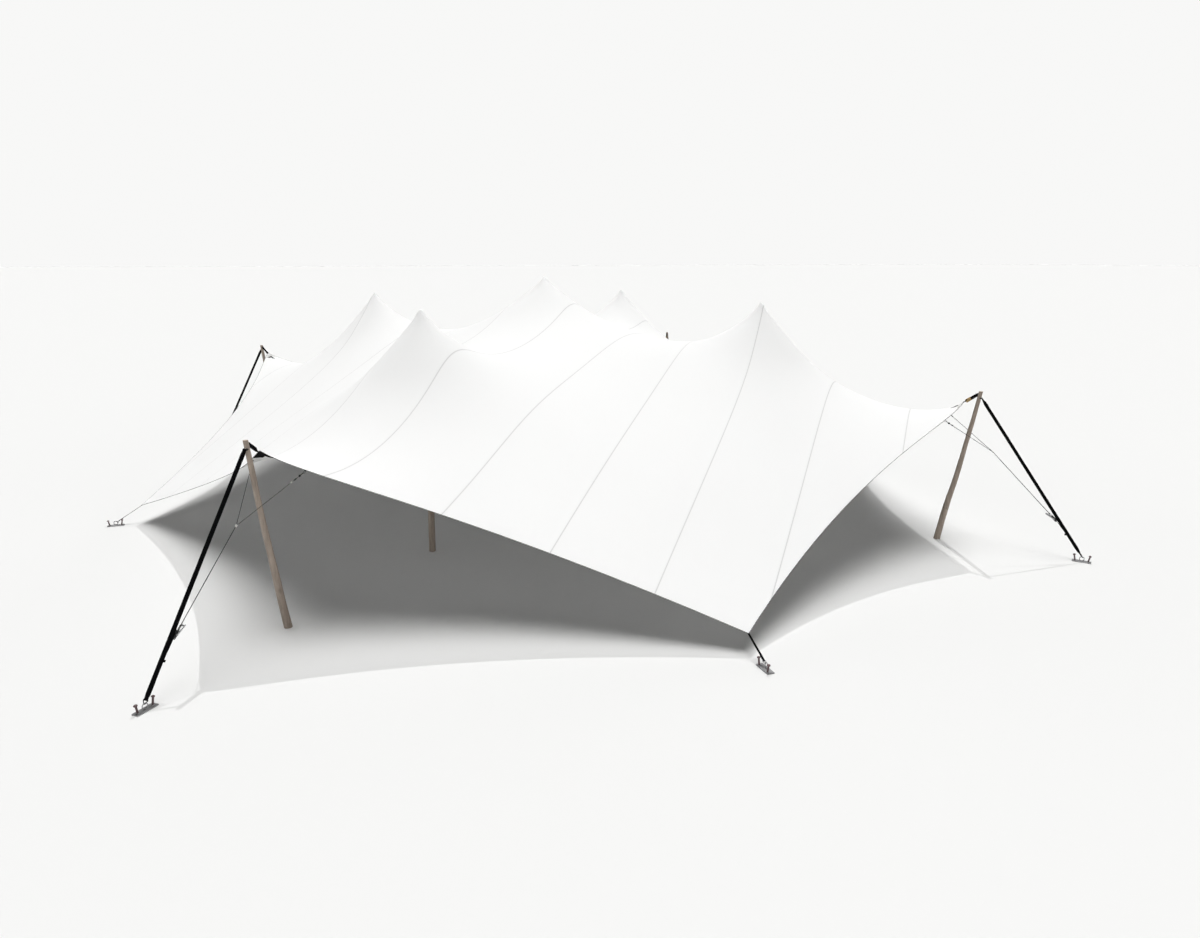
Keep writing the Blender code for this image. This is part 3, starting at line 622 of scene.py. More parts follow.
class Nodes:
    """A node tree being wired: each method adds a node and gives back its result."""

    def __init__(self, tree):
        self.tree = tree

    def add(self, kind, inputs=(), **settings):
        """Add a node, set what it is told and link the sockets that it is given."""
        node = self.tree.nodes.new(f"ShaderNode{kind}")
        for key, value in settings.items():
            setattr(node, key, value)
        for key, value in dict(inputs).items():
            if isinstance(value, bpy.types.NodeSocket):
                self.tree.links.new(value, node.inputs[key])
            else:
                node.inputs[key].default_value = value
        return node.outputs

    def math(self, operation, first, second=0.0):
        """Result of a sum on one or two numbers or sockets."""
        return self.add("Math", {0: first, 1: second}, operation=operation)[0]

    def plus(self, first, second):
        """Sum of two values."""
        return self.math("ADD", first, second)

    def less(self, first, second):
        """First value less the second."""
        return self.math("SUBTRACT", first, second)

    def times(self, first, second):
        """Product of two values."""
        return self.math("MULTIPLY", first, second)

    def apart(self, first, second):
        """How far apart two values are."""
        return self.math("ABSOLUTE", self.less(first, second))

    def wave(self, value, length):
        """Sine wave of a length."""
        return self.math("SINE", self.times(value, 2 * math.pi / length))

    def beats(self, value, rate, gap):
        """1 or 0 in turn: each beat starts with a gap that is a share of it."""
        return self.math("GREATER_THAN", self.math("FRACT", self.times(value, rate)), gap)

    def between(self, value, low, high, to_low=0.0, to_high=1.0):
        """Value carried from one range to another and held inside it."""
        inputs = {0: value, 1: low, 2: high, 3: to_low, 4: to_high}
        return self.add("MapRange", inputs, clamp=True)[0]

    def near(self, value, low, high, most=1.0):
        """Most up to the low value, and nothing from the high one on."""
        return self.between(value, low, high, most, 0.0)

    def mix(self, share, first, second):
        """Colour between two colours or sockets, by a share from 0 to 1."""
        return self.add("Mix", {0: share, 6: first, 7: second}, data_type="RGBA")[2]

    def noise(self, vector, scale, detail=3.0, roughness=0.55):
        """Noise value on coordinates."""
        return self.add("TexNoise", {"Vector": vector, "Scale": scale, "Detail": detail,
                                     "Roughness": roughness})["Fac"]

    def bump(self, height, distance, strength, under=None):
        """Normal of a height field, laid on another normal if one is given."""
        inputs = {"Height": height, "Distance": distance, "Strength": strength}
        if under is not None:
            inputs["Normal"] = under
        return self.add("Bump", inputs)[0]


class Finish(Nodes):
    """A material being made, with its shader and the coordinates that its patterns read."""

    def __init__(self, name, roughness, metallic=0.0, specular=0.5):
        self.material = bpy.data.materials.new(name)
        self.material.use_nodes = True
        super().__init__(self.material.node_tree)
        self.shader = self.tree.nodes["Principled BSDF"]
        for socket, value in (("Roughness", roughness), ("Metallic", metallic),
                              ("Specular IOR Level", specular)):
            self.shader.inputs[socket].default_value = value
        coords = self.add("TexCoord")
        self.place, self.uv = coords["Object"], coords["UV"]

    def metres(self):
        """The piece's UVs as two values in metres: along it and across it."""
        return tuple(self.add("SeparateXYZ", {0: self.uv}))[:2]

    def stretched(self, lengthways):
        """The piece's coordinates, changed so that a pattern is drawn out along Z."""
        return self.add("Mapping", {"Vector": self.place, "Scale": (1.0, 1.0, lengthways)})[0]

    def in_plan(self, direction):
        """Distance in metres along a level direction."""
        inputs = {0: self.place, 1: (*direction, 0.0)}
        return self.add("VectorMath", inputs, operation="DOT_PRODUCT")["Value"]

    def knit(self, inputs=()):
        """Fine diagonal rows of a knit."""
        inputs = {"Vector": self.place, "Scale": 180.0, "Distortion": 1.2, **dict(inputs)}
        return self.add("TexWave", inputs, bands_direction="DIAGONAL")["Fac"]

    def done(self, colour, normal=None, roughness=None):
        """Link what the shader shows, and give back the material."""
        for socket, value in (("Base Color", colour), ("Normal", normal),
                              ("Roughness", roughness)):
            if value is not None:
                self.tree.links.new(value, self.shader.inputs[socket])
        return self.material


def rgba(colour, level=1.0):
    """Colour with its alpha, made darker or lighter by a level."""
    return (colour[0] * level, colour[1] * level, colour[2] * level, 1.0)


def cloth_material(name, colour, seam_level, roughness):
    """Stretch cloth: a fine knit, seams by distance across them, and some light let through."""
    n = Finish(name, roughness)
    across = n.in_plan(SHEET_SLOPE)
    along = n.in_plan((-SHEET_SLOPE[1], SHEET_SLOPE[0]))
    offset = n.apart(n.math("FRACT", n.math("DIVIDE", across, SEAM_SPACING)), 0.5)
    distance = n.times(offset, SEAM_SPACING)
    line = n.near(distance, *SEAM_LINE)
    lap = n.near(distance, *SEAM_LAP)
    row = n.near(n.apart(distance, SEAM_ROW), 0.0008, 0.0016)
    stitch = n.times(row, n.beats(along, 160.0, 0.35))
    soft = n.between(n.noise(n.place, 0.35, 2.0), 0.3, 0.7)
    base = n.mix(soft, rgba(colour), rgba(colour, 0.975))
    base = n.mix(n.times(line, 0.9), base, rgba(colour, seam_level))
    base = n.mix(n.times(stitch, 0.5), base, rgba(colour, seam_level))
    normal = n.bump(n.knit({"Detail": 1.0, "Detail Scale": 2.0}), 0.0002, 0.25)
    normal = n.bump(n.less(lap, n.times(stitch, 0.6)), 0.0012, 0.8, normal)
    material = n.done(base, normal)
    glow = n.add("BsdfTranslucent", {"Color": rgba(CLOTH_GLOW)})
    mixed = n.add("MixShader", {0: CLOTH_THROUGH, 1: n.shader.outputs[0], 2: glow[0]})
    n.tree.links.new(mixed[0], n.tree.nodes["Material Output"].inputs["Surface"])
    return material


def wood_material(name, pale, dark):
    """Weathered round timber: grain drawn out along the log, with checks, knots and grey tone."""
    n = Finish(name, 0.72)
    grain = n.noise(n.stretched(0.07), 38.0, 6.0, 0.6)
    blotch = n.noise(n.stretched(0.45), 3.0, 3.0, 0.5)
    streak = n.noise(n.stretched(0.05), 11.0, 3.0, 0.5)
    share = n.plus(n.times(grain, 0.55), n.times(blotch, 0.45))
    base = n.mix(n.between(share, 0.35, 0.65), rgba(dark), rgba(pale))
    base = n.mix(n.between(streak, 0.58, 0.75, 0.0, 0.45), base, rgba(dark, 0.7))
    check = n.add("TexVoronoi", {"Vector": n.stretched(0.035), "Scale": 42.0},
                  feature="DISTANCE_TO_EDGE")["Distance"]
    split = n.times(n.near(check, 0.0, 0.035), n.between(blotch, 0.5, 0.65, 0.0, 0.7))
    base = n.mix(split, base, rgba(dark, 0.35))
    knot = n.add("TexVoronoi", {"Vector": n.stretched(0.55), "Scale": 3.2})["Distance"]
    base = n.mix(n.near(knot, 0.04, 0.12, 0.6), base, rgba(dark, 0.5))
    return n.done(base, n.bump(n.less(grain, n.times(split, 0.8)), 0.002, 0.7))


def cut_wood_material(name, pale, dark):
    """Sawn end of a log: rings about the piece's own UV centre, with darker checks."""
    n = Finish(name, 0.80)
    rings = n.add("TexWave", {"Vector": n.uv, "Scale": 60.0, "Distortion": 3.0, "Detail": 2.0,
                              "Detail Scale": 1.5}, wave_type="RINGS", rings_direction="Z")["Fac"]
    share = n.plus(n.times(rings, 0.5), n.times(n.noise(n.uv, 60.0, 4.0), 0.5))
    base = n.mix(n.between(share, 0.2, 0.8), rgba(dark), rgba(pale))
    return n.done(base, n.bump(share, 0.0008, 0.5))


def webbing_material(name, colour, thread, sewn=False):
    """Woven strap by its UV in metres: ribs along it, picks across it and stitched ends."""
    n = Finish(name, 0.85, specular=0.06)
    run, across = n.metres()
    ribs = n.wave(across, RIB_SPACING)
    weave = n.times(ribs, n.wave(run, PICK_SPACING))
    fade = n.between(n.noise(n.place, 9.0), 0.35, 0.7)
    base = n.mix(fade, rgba(colour), rgba(colour, 1.8))
    base = n.mix(n.between(weave, -1.0, 1.0, 0.0, 0.5), base, rgba(colour, 0.6))
    height = n.plus(n.times(weave, 0.5), ribs)
    if sewn:
        cross = n.math("ABSOLUTE", n.wave(run, ZIGZAG_LENGTH))
        zigzag = n.apart(n.apart(across, WEB_WIDTH / 2), n.times(cross, ZIGZAG_REACH))
        seam = n.near(zigzag, 0.0006, 0.0014)
        base = n.mix(seam, base, rgba(thread))
        height = n.plus(height, n.times(seam, -1.5))
    return n.done(base, n.bump(height, 0.0004, 0.8))


def patch_material(name, colour, thread):
    """Doubled cloth by its UV in metres: a fine knit and a dotted stitch by its far side."""
    n = Finish(name, 0.85)
    far, along = n.metres()
    seam = n.near(n.apart(far, 0.009), 0.0030, 0.0042)
    seam = n.times(seam, n.beats(along, 50.0, 0.45))
    normal = n.bump(n.knit(), 0.0002, 0.3)
    return n.done(n.mix(seam, rgba(colour), rgba(thread)), n.bump(seam, 0.0008, 0.7, normal))


def rope_material(name, colour):
    """Braided cord by its UV in metres: two sets of strands that cross round it, darker between
    them as painted shade and lighter on their crowns as painted highlight.
    """
    n = Finish(name, 0.75)
    run, turn = n.metres()
    along, around = n.times(run, 2 * math.pi / 0.010), n.times(turn, 2 * math.pi / 0.0063)
    braid = n.math("MAXIMUM", n.math("SINE", n.plus(along, around)),
                   n.math("SINE", n.less(along, around)))
    # Painted shade in the grooves between the strands and painted highlight on their crowns,
    # following the braid's height.
    base = n.mix(n.between(braid, -0.5, 1.0), rgba(colour, 0.5), rgba(colour, 1.5))
    return n.done(base, n.bump(braid, 0.0006, 0.8))


def metal_material(name, colour, worn, roughness, metallic, grit):
    """Metal with mottled tone, worn or paler patches and a fine grit."""
    n = Finish(name, roughness, metallic)
    mottle = n.noise(n.place, 14.0, 4.0)
    spangle = n.add("TexVoronoi", {"Vector": n.place, "Scale": 90.0})["Color"]
    grey = n.add("SeparateColor", {0: spangle})[0]
    base = n.mix(n.between(mottle, 0.35, 0.65), rgba(colour, 0.85), rgba(colour, 1.15))
    base = n.mix(n.times(grey, 0.2), base, rgba(worn))
    scuff = n.between(n.noise(n.place, 55.0, 5.0, 0.7), 0.62, 0.72, 0.0, 0.6)
    base = n.mix(scuff, base, rgba(worn))
    rough = n.between(mottle, 0.2, 0.8, roughness - 0.08, roughness + 0.12)
    return n.done(base, n.bump(n.noise(n.place, grit), 0.0004, 0.6), rough)


def moulded_material(name, colour, roughness):
    """Moulded plastic with a slight grain and a little uneven tone."""
    n = Finish(name, roughness)
    tone = n.between(n.noise(n.place, 30.0), 0.3, 0.7)
    grain = n.noise(n.place, 900.0, 2.0)
    return n.done(n.mix(tone, rgba(colour, 0.88), rgba(colour)), n.bump(grain, 0.0002, 0.5))


def floor_material(name, colour):
    """Plain pale studio floor, matt."""
    n = Finish(name, 0.9, specular=0.0)
    return n.done(n.mix(n.noise(n.place, 4.0, 2.0), rgba(colour), rgba(colour, 0.998)))


# Places that the pieces share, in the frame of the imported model

def post_point(x, y, height):
    """Point on a corner post's middle line at a height."""
    foot = np.array((x * POST_FOOT[0], y * POST_FOOT[1], 0.0))
    top = np.array((x * POST_TOP[0], y * POST_TOP[1], POST_TOP[2]))
    return foot + (top - foot) * height / POST_TOP[2]


def corner_peg(x, y):
    """Place of a corner anchor on the ground."""
    peg = LEFT_PEG if x < 0 else RIGHT_PEG
    return np.array((x * peg[0], y * peg[1], 0.0))


def outward_of(x, y):
    """Level direction from a corner post's top to its anchor, and the one across it."""
    out = (corner_peg(x, y) - post_point(x, y, GUY_HEIGHT)) * np.array((1, 1, 0))
    out = unit(out)
    return out, np.array((-out[1], out[0], 0.0))


def ring_centre_of(peg, side, shift):
    """Centre of the ring on an anchor's plate."""
    return peg + side * shift + UP * (PLATE_THICKNESS + RING_RADIUS + RING_WIRE - RING_SINK)


def guy_line(x, y):
    """Start of a guy strap's solid, its end over the ring, and the ring's centre."""
    out, side = outward_of(x, y)
    start = post_point(x, y, GUY_HEIGHT) + out * GUY_OFFSET
    centre = ring_centre_of(corner_peg(x, y), side, 0.0)
    reach = RING_RADIUS - RING_WIRE + 2 * LINK_RADIUS - LINK_WIRE - LINK_GAP - LINK_SINK
    return start, centre + UP * reach, centre


def side_peg(x, y):
    """Place of a hold-down's anchor, and the level directions out along its pull and across it."""
    reach = FRONT_PEG if x == 0 else SIDE_PEG
    out, side = np.array((x, y, 0.0)), np.array((abs(y), abs(x), 0.0))
    return out * reach + side * PEG_SHIFT, out, side


def bridle_frame(x, y):
    """The bridle's junction, its tail's end by the guy strap, its pull, inner side and across."""
    start, end, _ = guy_line(x, y)
    out, _ = outward_of(x, y)
    down = unit(end - start)
    rest = -unit(out - down * (out @ down))
    junction = np.array((x * JUNCTION[0], y * JUNCTION[1], JUNCTION[2]))
    tail_end = start + down * TAIL_AT + rest * (WEB_THICKNESS / 2 + TAIL_THICKNESS / 2 + GAP)
    pull = unit(tail_end - junction)
    inner = -unit(out - pull * (out @ pull))
    return junction, tail_end, pull, inner, np.cross(pull, inner)


def strap_frame(x, y):
    """A guy strap's pin on the post, its low pin, its level side, its pull and its other side."""
    out, side = outward_of(x, y)
    _, _, centre = guy_line(x, y)
    pin = post_point(x, y, GUY_HEIGHT) + out * BRACKET_REACH
    ring_top = centre + UP * RING_RADIUS
    low = ring_top - unit(ring_top - pin) * LINK_LENGTH
    pull = unit(low - pin)
    return pin, low, side, pull, np.cross(side, pull)


def strap_turn(x, y, run, length):
    """Across and off directions at runs down a guy strap: level at its ends, twisted between."""
    _, _, side, _, off = strap_frame(x, y)
    share = eased(run / TWIST_OVER) * eased((length - run) / TWIST_OVER)
    turn = (x * y * math.radians(STRAP_TWIST) * share)[:, None]
    return side * np.cos(turn) + off * np.sin(turn), off * np.cos(turn) - side * np.sin(turn)


# The pieces

def finish_piece(piece, body, slot, *nodes):
    """Tell the frame what a piece rides on and hide the solids it stands for. The slot is not used.
    """
    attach(piece, body)
    if nodes:
        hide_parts(*nodes)
    return piece


def make_each(places, kind, slot, node, looks, draw, body="tent"):
    """One piece at each place: draw fills its shape, and it stands for the place's solid."""
    finishes = [tent_looks()[look] for look in looks]
    pieces = []
    for name, (x, y) in places.items():
        shape = Shape()
        draw(shape, x, y)
        piece = shape.build(f"{kind}_{name}", finishes)
        pieces.append(finish_piece(piece, body.format(name), slot, f"{node}_{name}"))
    return pieces


def sheet_surface():
    """The sheet's top grid with its two rows of places, worked out once."""
    if "grid" not in SHARED:
        place = pole_place()
        SHARED["across"] = graded(place[0])
        SHARED["back"] = graded(place[1])
        SHARED["grid"] = sheet_points(SHARED["across"], SHARED["back"])
        SHARED["normals"] = surface_normals(SHARED["grid"])
    return SHARED


def on_sheet(u, v, below=0.0):
    """Points of the front-left part of the sheet at places (u, v), moved below its top."""
    data = sheet_surface()
    steps = np.arange(len(data["across"]))
    i = np.clip(np.interp(u, data["across"], steps), 0, len(steps) - 1.000001)
    j = np.clip(np.interp(v, data["back"], steps), 0, len(steps) - 1.000001)
    i0, j0 = i.astype(int), j.astype(int)
    a, b = (i - i0)[..., None], (j - j0)[..., None]

    def blend(grid):
        low = grid[i0, j0] * (1 - a) + grid[i0 + 1, j0] * a
        high = grid[i0, j0 + 1] * (1 - a) + grid[i0 + 1, j0 + 1] * a
        return low * (1 - b) + high * b

    return blend(data["grid"]) - unit(blend(data["normals"])) * np.asarray(below)[..., None]


def make_canopy():
    """The sheet: a grid for its top, one for its underside, a rim that joins them and a cord."""
    sizes, looks, data = bpy.context.scene.tent_sizes, tent_looks(), sheet_surface()
    top, normals = data["grid"], data["normals"]
    shape = Shape()
    border = slab(shape, top, top - normals * sizes.cloth_depth, top[..., :2], (0, 1, 2), True)
    canopy = shape.build("canopy", [looks["sheet_top"], looks["sheet_under"], looks["hem"]])
    edge = (top - normals * (sizes.cloth_depth / 2)).reshape(-1, 3)[border]
    shape = Shape()
    sweep(shape, edge, circle(sizes.edge_cord, 8), UP, loop=True)
    cord = shape.build("canopy_edge_cord", [looks["hem"]])
    finish_piece(canopy, "tent", "sheet", *(f"canopy_strip_{n:02d}" for n in range(1, 12)))
    finish_piece(cord, "tent", "sheet")
    return canopy, cord


def log_rows(foot, top, radii, head, sway, seed, knots):
    """Centre line and profiles of a crooked log.

    The line is straight from foot to top plus slow sine waves. The radius tapers, is uneven
    round the log by waves of two and three lobes, swells at each knot as a bell curve and at
    the head follows the given (drop, share) rows.
    """
    foot, top = np.asarray(foot, float), np.asarray(top, float)
    height = top[2] - foot[2]
    drops, shares = np.array(head).T
    fine = np.interp(np.linspace(0, 1, 9), np.linspace(0, 1, len(drops)), drops)
    levels = np.concatenate((np.linspace(0, height - drops[0], 64), height - fine[1:]))
    share = np.interp(height - levels, drops[::-1], shares[::-1], right=1.0)
    part = levels / height
    path = foot + (top - foot) * part[:, None]
    bow = np.sin(math.pi * part)
    path[:, 0] += bow * sway + 0.4 * sway * np.sin(3 * math.pi * part + seed) * bow
    path[:, 1] += 0.6 * sway * np.sin(2 * math.pi * part)
    path[:, 1] += 0.5 * sway * np.sin(4 * math.pi * part + 2 * seed) * bow
    turn = np.linspace(0, 2 * math.pi, 28, endpoint=False)
    angle, along = np.meshgrid(turn, part)
    uneven = 0.035 * np.sin(2 * angle + seed + 5 * along)
    uneven = uneven + 0.025 * np.sin(3 * angle - 9 * along + seed)
    uneven = uneven + 0.02 * np.sin(23 * along + seed) + 0.012 * np.sin(5 * angle + 31 * along)
    for place, facing, swell in knots:
        gap = np.angle(np.exp(1j * (angle - facing)))
        bell = np.exp(-((gap / 0.45) ** 2) - ((along - place) * height / 0.035) ** 2)
        uneven = uneven + swell * bell
    radius = (radii[0] + (radii[1] - radii[0]) * along) * (1 + uneven) * share[:, None]
    return path, np.stack((radius * np.cos(angle), radius * np.sin(angle)), axis=-1)


def make_log(node, *form):
    """One log with sawn ends, which stands for a solid of its name."""
    shape = Shape()
    path, profile = log_rows(*form)
    sweep(shape, path, profile, (1.0, 0.0, 0.0), ahead=UP, cap_look=1)
    finishes = [tent_looks()["wood"], tent_looks()["cut_wood"]]
    return finish_piece(shape.build(f"log_{node}", finishes, 55.0), "tent", "wood", node)


def make_inner_poles():
    """The four inner poles and the centre pole, which push the sheet up."""
    places = {f"inner_pole_{name}": (x * INNER_POLE[0], y * INNER_POLE[1])
              for name, (x, y) in CORNERS.items()}
    places["centre_pole"] = (0.0, 0.0)
    pieces = []
    for number, (node, (x, y)) in enumerate(places.items()):
        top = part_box(node)[1].z + bpy.context.scene.tent_sizes.pole_rise
        knots = ((0.17 + 0.05 * number % 0.2, 1.0 + number, 0.14), (0.41, 4.0 - number, 0.10),
                 (0.63, 2.2 + 0.7 * number, 0.12), (0.82, 5.5 - number, 0.09))
        pieces.append(make_log(node, (x, y, 0), (x, y, top), POLE_RADII, POLE_HEAD,
                               POLE_SWAY * (-1) ** number, 0.9 * number, knots))
    return pieces


def make_corner_posts():
    """The four leaning corner posts."""
    pieces = []
    for number, (name, (x, y)) in enumerate(CORNERS.items()):
        knots = ((0.13, 5.2 - number, 0.16), (0.30, 1.1 + number, 0.12), (0.52, 4.1, 0.12),
                 (0.71, 2.0 + number, 0.10), (0.86, 5.0, 0.08))
        pieces.append(make_log(
            f"corner_post_{name}", (x * POST_FOOT[0], y * POST_FOOT[1], 0),
            (x * POST_TOP[0], y * POST_TOP[1], POST_TOP[2]), POST_RADII, POST_HEAD,
            POST_SWAY * x, 1.7 + 1.3 * number, knots))
    return pieces


def draw_anchor(shape, x, y):
    """Bevelled plate, two leaning stakes with collars and round heads, and a ring on a saddle."""
    if x and y:
        peg, (out, side), ring_shift, stake_shift = corner_peg(x, y), outward_of(x, y), 0.0, 0.0
    else:
        peg, out, side = side_peg(x, y)
        ring_shift, stake_shift = RING_SHIFT, STAKE_SHIFT
    plate(shape, peg, UP, out, (PLATE_LENGTH, PLATE_WIDTH, PLATE_THICKNESS), 0.008, 0.0015)
    for sign in (-1, 1):
        base = peg + out * sign * STAKE_OFFSET + side * stake_shift + UP * (PLATE_THICKNESS / 2)
        tip = base + out * sign * STAKE_LEAN + UP * STAKE_HEIGHT
        axis = unit(tip - base)
        turned(shape, base + axis * (PLATE_THICKNESS / 2), UP, STAKE_COLLAR, 24)
        rod(shape, base, tip, STAKE_RADIUS, 20, 1)
        turned(shape, tip - axis * STAKE_HEAD_HEIGHT / 2, axis, STAKE_HEAD, 28, 1)
    ring(shape, ring_centre_of(peg, side, ring_shift), side, RING_RADIUS, RING_WIRE)
    saddle = peg + side * ring_shift + UP * (PLATE_THICKNESS - 0.001)
    arch = arc(saddle, side, UP, SADDLE_RADIUS, -0.1, math.pi + 0.1, 17)
    sweep(shape, arch, oblong(*SADDLE_WIRE, 0.002), out)


def folded_strap(shape, x, y):
    """Guy strap folded round both of its pins and sewn back on itself.

    Its line runs down from the top pin, half round the low pin and back up for a way, and the
    same at the top. Both layers lie half a thickness off the pins' line, and twist with it.
    """
    pin, low, side, pull, off = strap_frame(x, y)
    lift = STRAP_PIN + STRAP_THICKNESS / 2
    half = STRAP_THICKNESS * 0.55
    length = np.linalg.norm(low - pin)
    runs = (np.linspace(lift + STRAP_RETURNS[0], lift * 2.5, 8),
            np.linspace(lift * 2.5, length - lift * 2.5, 60),
            np.linspace(length - lift * 2.5, length - lift - STRAP_RETURNS[1], 8))
    legs, sides = [], []
    for run, sign in zip(runs, (-1, 1, -1)):
        across, away = strap_turn(x, y, run, length)
        legs.append(pin + pull * run[:, None] + away * sign * half)
        sides.append(across)
    over = arc(pin, -off, -pull, lift, 0, math.pi, 11)
    under = arc(low, off, pull, lift, 0, math.pi, 11)
    level = np.broadcast_to(side, over.shape)
    path = np.concatenate((legs[0], over, legs[1], under, legs[2]))
    across = np.concatenate((sides[0], level, sides[1], level, sides[2]))
    sweep(shape, path, oblong(WEB_WIDTH, STRAP_THICKNESS, STRAP_THICKNESS * 0.45, 2), across)


def post_bracket(shape, x, y, height, facing, pin_axis, width):
    """Small steel plate on a post with two lugs and the pin that a strap folds round."""
    base = post_point(x, y, height) + facing * (BRACKET_REACH - LUG_REACH)
    plate(shape, base - facing * 0.004, facing, pin_axis, (width + 0.004, 0.032, 0.005), 0.004,
          0.001, 1)
    pin = base + facing * LUG_REACH
    for sign in (-1, 1):
        lug = base + pin_axis * (sign * (width / 2 + 0.0025) - 0.0018)
        plate(shape, lug, pin_axis, facing, (0.036, 0.018, 0.0036), 0.006, 0.0008, 1)
    half = width / 2 + 0.0065
    cross_bar(shape, pin, pin_axis, half, STRAP_PIN, 14, 1)
    return pin


def draw_guy(shape, x, y):
    """Guy strap from a bracket on its corner post down to the link on its anchor's ring."""
    out, side = outward_of(x, y)
    post_bracket(shape, x, y, GUY_HEIGHT, out, side, WEB_WIDTH)
    _, low, _, pull, _ = strap_frame(x, y)
    delta_link(shape, low, side, pull, 0.034, 0.011, LINK_LENGTH + RING_WIRE + 0.006, 0.005)
    folded_strap(shape, x, y)


def draw_hold_down(shape, x, y):
    """Short strap sewn under the sheet's low tip and folded over the link on its anchor."""
    tip = np.array(SHEET_FRONT_TIP if x == 0 else SHEET_SIDE_TIP)
    peg, out, side = side_peg(x, y)
    start = out * max(tip[0], tip[1]) + UP * (tip[2] - 0.006)
    centre = ring_centre_of(peg, side, RING_SHIFT)
    pull = unit(centre - start)
    ring_top = centre - pull * RING_RADIUS
    low = ring_top - pull * LOW_LINK_LENGTH
    delta_link(shape, low, side, pull, 0.021, 0.010, LOW_LINK_LENGTH + RING_WIRE + 0.006, HOLD_PIN)
    inner = start - out * HOLD_SEWN
    flat = sheet_under_at(inner[0], inner[1], 0.006)
    off = np.cross(side, pull)
    off = off if off[2] > 0 else -off
    lift = HOLD_PIN + HOLD_THICKNESS / 2
    run = line(start, low - pull * 0.015 + off * lift * 0.6, 9)
    bend = arc(low, off, pull, lift, 0, math.pi, 11)
    back = line(low - pull * 0.014 - off * 0.0025, low - pull * 0.09 - off * 0.0025, 4)
    path = np.concatenate((line(flat, start - (start - flat) * 0.06, 4), run[1:], bend, back))
    sweep(shape, path, oblong(HOLD_WIDTH, HOLD_THICKNESS, 0.0016, 2), side)


def sheet_under_at(x, y, below):
    """Point a little under the sheet's top at a plan place."""
    def plan(u, v):
        return on_sheet(np.array((u,)), np.array((v,)))[0, :2]

    start = np.where(np.abs((x, y)) < 0.5, 0.5, 0.02)
    place = newton(plan, start, -np.abs((x, y)), 1e-3, 20, 0.5)
    point = on_sheet(place[:1], place[1:], below)[0]
    return np.array((math.copysign(abs(point[0]), x), math.copysign(abs(point[1]), y), point[2]))


def slab(shape, upper, lower, uv, looks, triangles=False):
    """Closed form between two grids of the same size, joined round their rims.

    Gives back the numbers of the points round the grids' rims.
    """
    rows, columns = upper.shape[:2]
    index = np.arange(rows * columns).reshape(rows, columns)
    border = np.concatenate((index[:-1, 0], index[-1, :-1], index[:0:-1, -1], index[0, :0:-1]))
    after, below = np.roll(border, -1), rows * columns
    rim = np.stack((border, after, after + below, border + below), axis=1)[:, ::-1]
    faces = quads_of(rows, columns)
    if triangles:
        faces = split_quads(faces)
    groups = [faces, faces[:, ::-1] + below, rim]
    points = np.concatenate((upper.reshape(-1, 3), lower.reshape(-1, 3)))
    uv = uv.reshape(-1, 2)
    shape.closed(points, groups, [uv[group % below] for group in groups], looks)
    return border


def layer_under(shape, x, y, u, v, below, depth, uv, look):
    """Layer of a depth at places (u, v) of the sheet, so far below its top, at a corner."""
    upper, lower = (mirrored(on_sheet(u, v, np.full(u.shape, down)), x, y)
                    for down in (below, below + depth))
    slab(shape, upper, lower, uv, [look] * 3)


def edge_band(shape, x, y, front, length, width, below):
    """Band under the sheet along one edge from a corner: a grid of places, given a thickness."""
    t, w = np.meshgrid(np.linspace(0.0, length, 13), np.linspace(0.004, width, 5), indexing="ij")
    u, v = (t, w) if front else (w, t)
    u, v = u / EDGE_LENGTHS[0] / 2, v / EDGE_LENGTHS[1] / 2
    layer_under(shape, x, y, u, v, below, BAND_DEPTH, np.stack((t, w), axis=-1), 0)


def corner_patch(shape, x, y):
    """Triangle under the sheet's corner: places that fan out from the tip to a straight far side.

    Its UVs are the distance to the far side and the way along it, in metres.
    """
    far, turn = np.meshgrid(np.linspace(0.03, 1.0, 10), np.linspace(0.0, 1.0, 13), indexing="ij")
    u = (0.004 + far * turn * PATCH_REACH) / EDGE_LENGTHS[0] / 2
    v = (0.004 + far * (1 - turn) * PATCH_REACH) / EDGE_LENGTHS[1] / 2
    uv = np.stack(((1 - far) * PATCH_REACH * 0.7, turn * PATCH_REACH * 1.4), axis=-1)
    layer_under(shape, x, y, u, v, PATCH_BELOW, PATCH_DEPTH, uv, 3)


# Ties, ropes and ratchets

def rounded(points, rounds=3):
    """Open line with its inner corners cut again and again, while both ends stay."""
    points = np.asarray(points, float)
    for _ in range(rounds):
        low, high = points[:-1], points[1:]
        cut = np.stack((0.75 * low + 0.25 * high, 0.25 * low + 0.75 * high), axis=1)
        points = np.concatenate((points[:1], cut.reshape(-1, 3)[1:-1], points[-1:]))
    return points


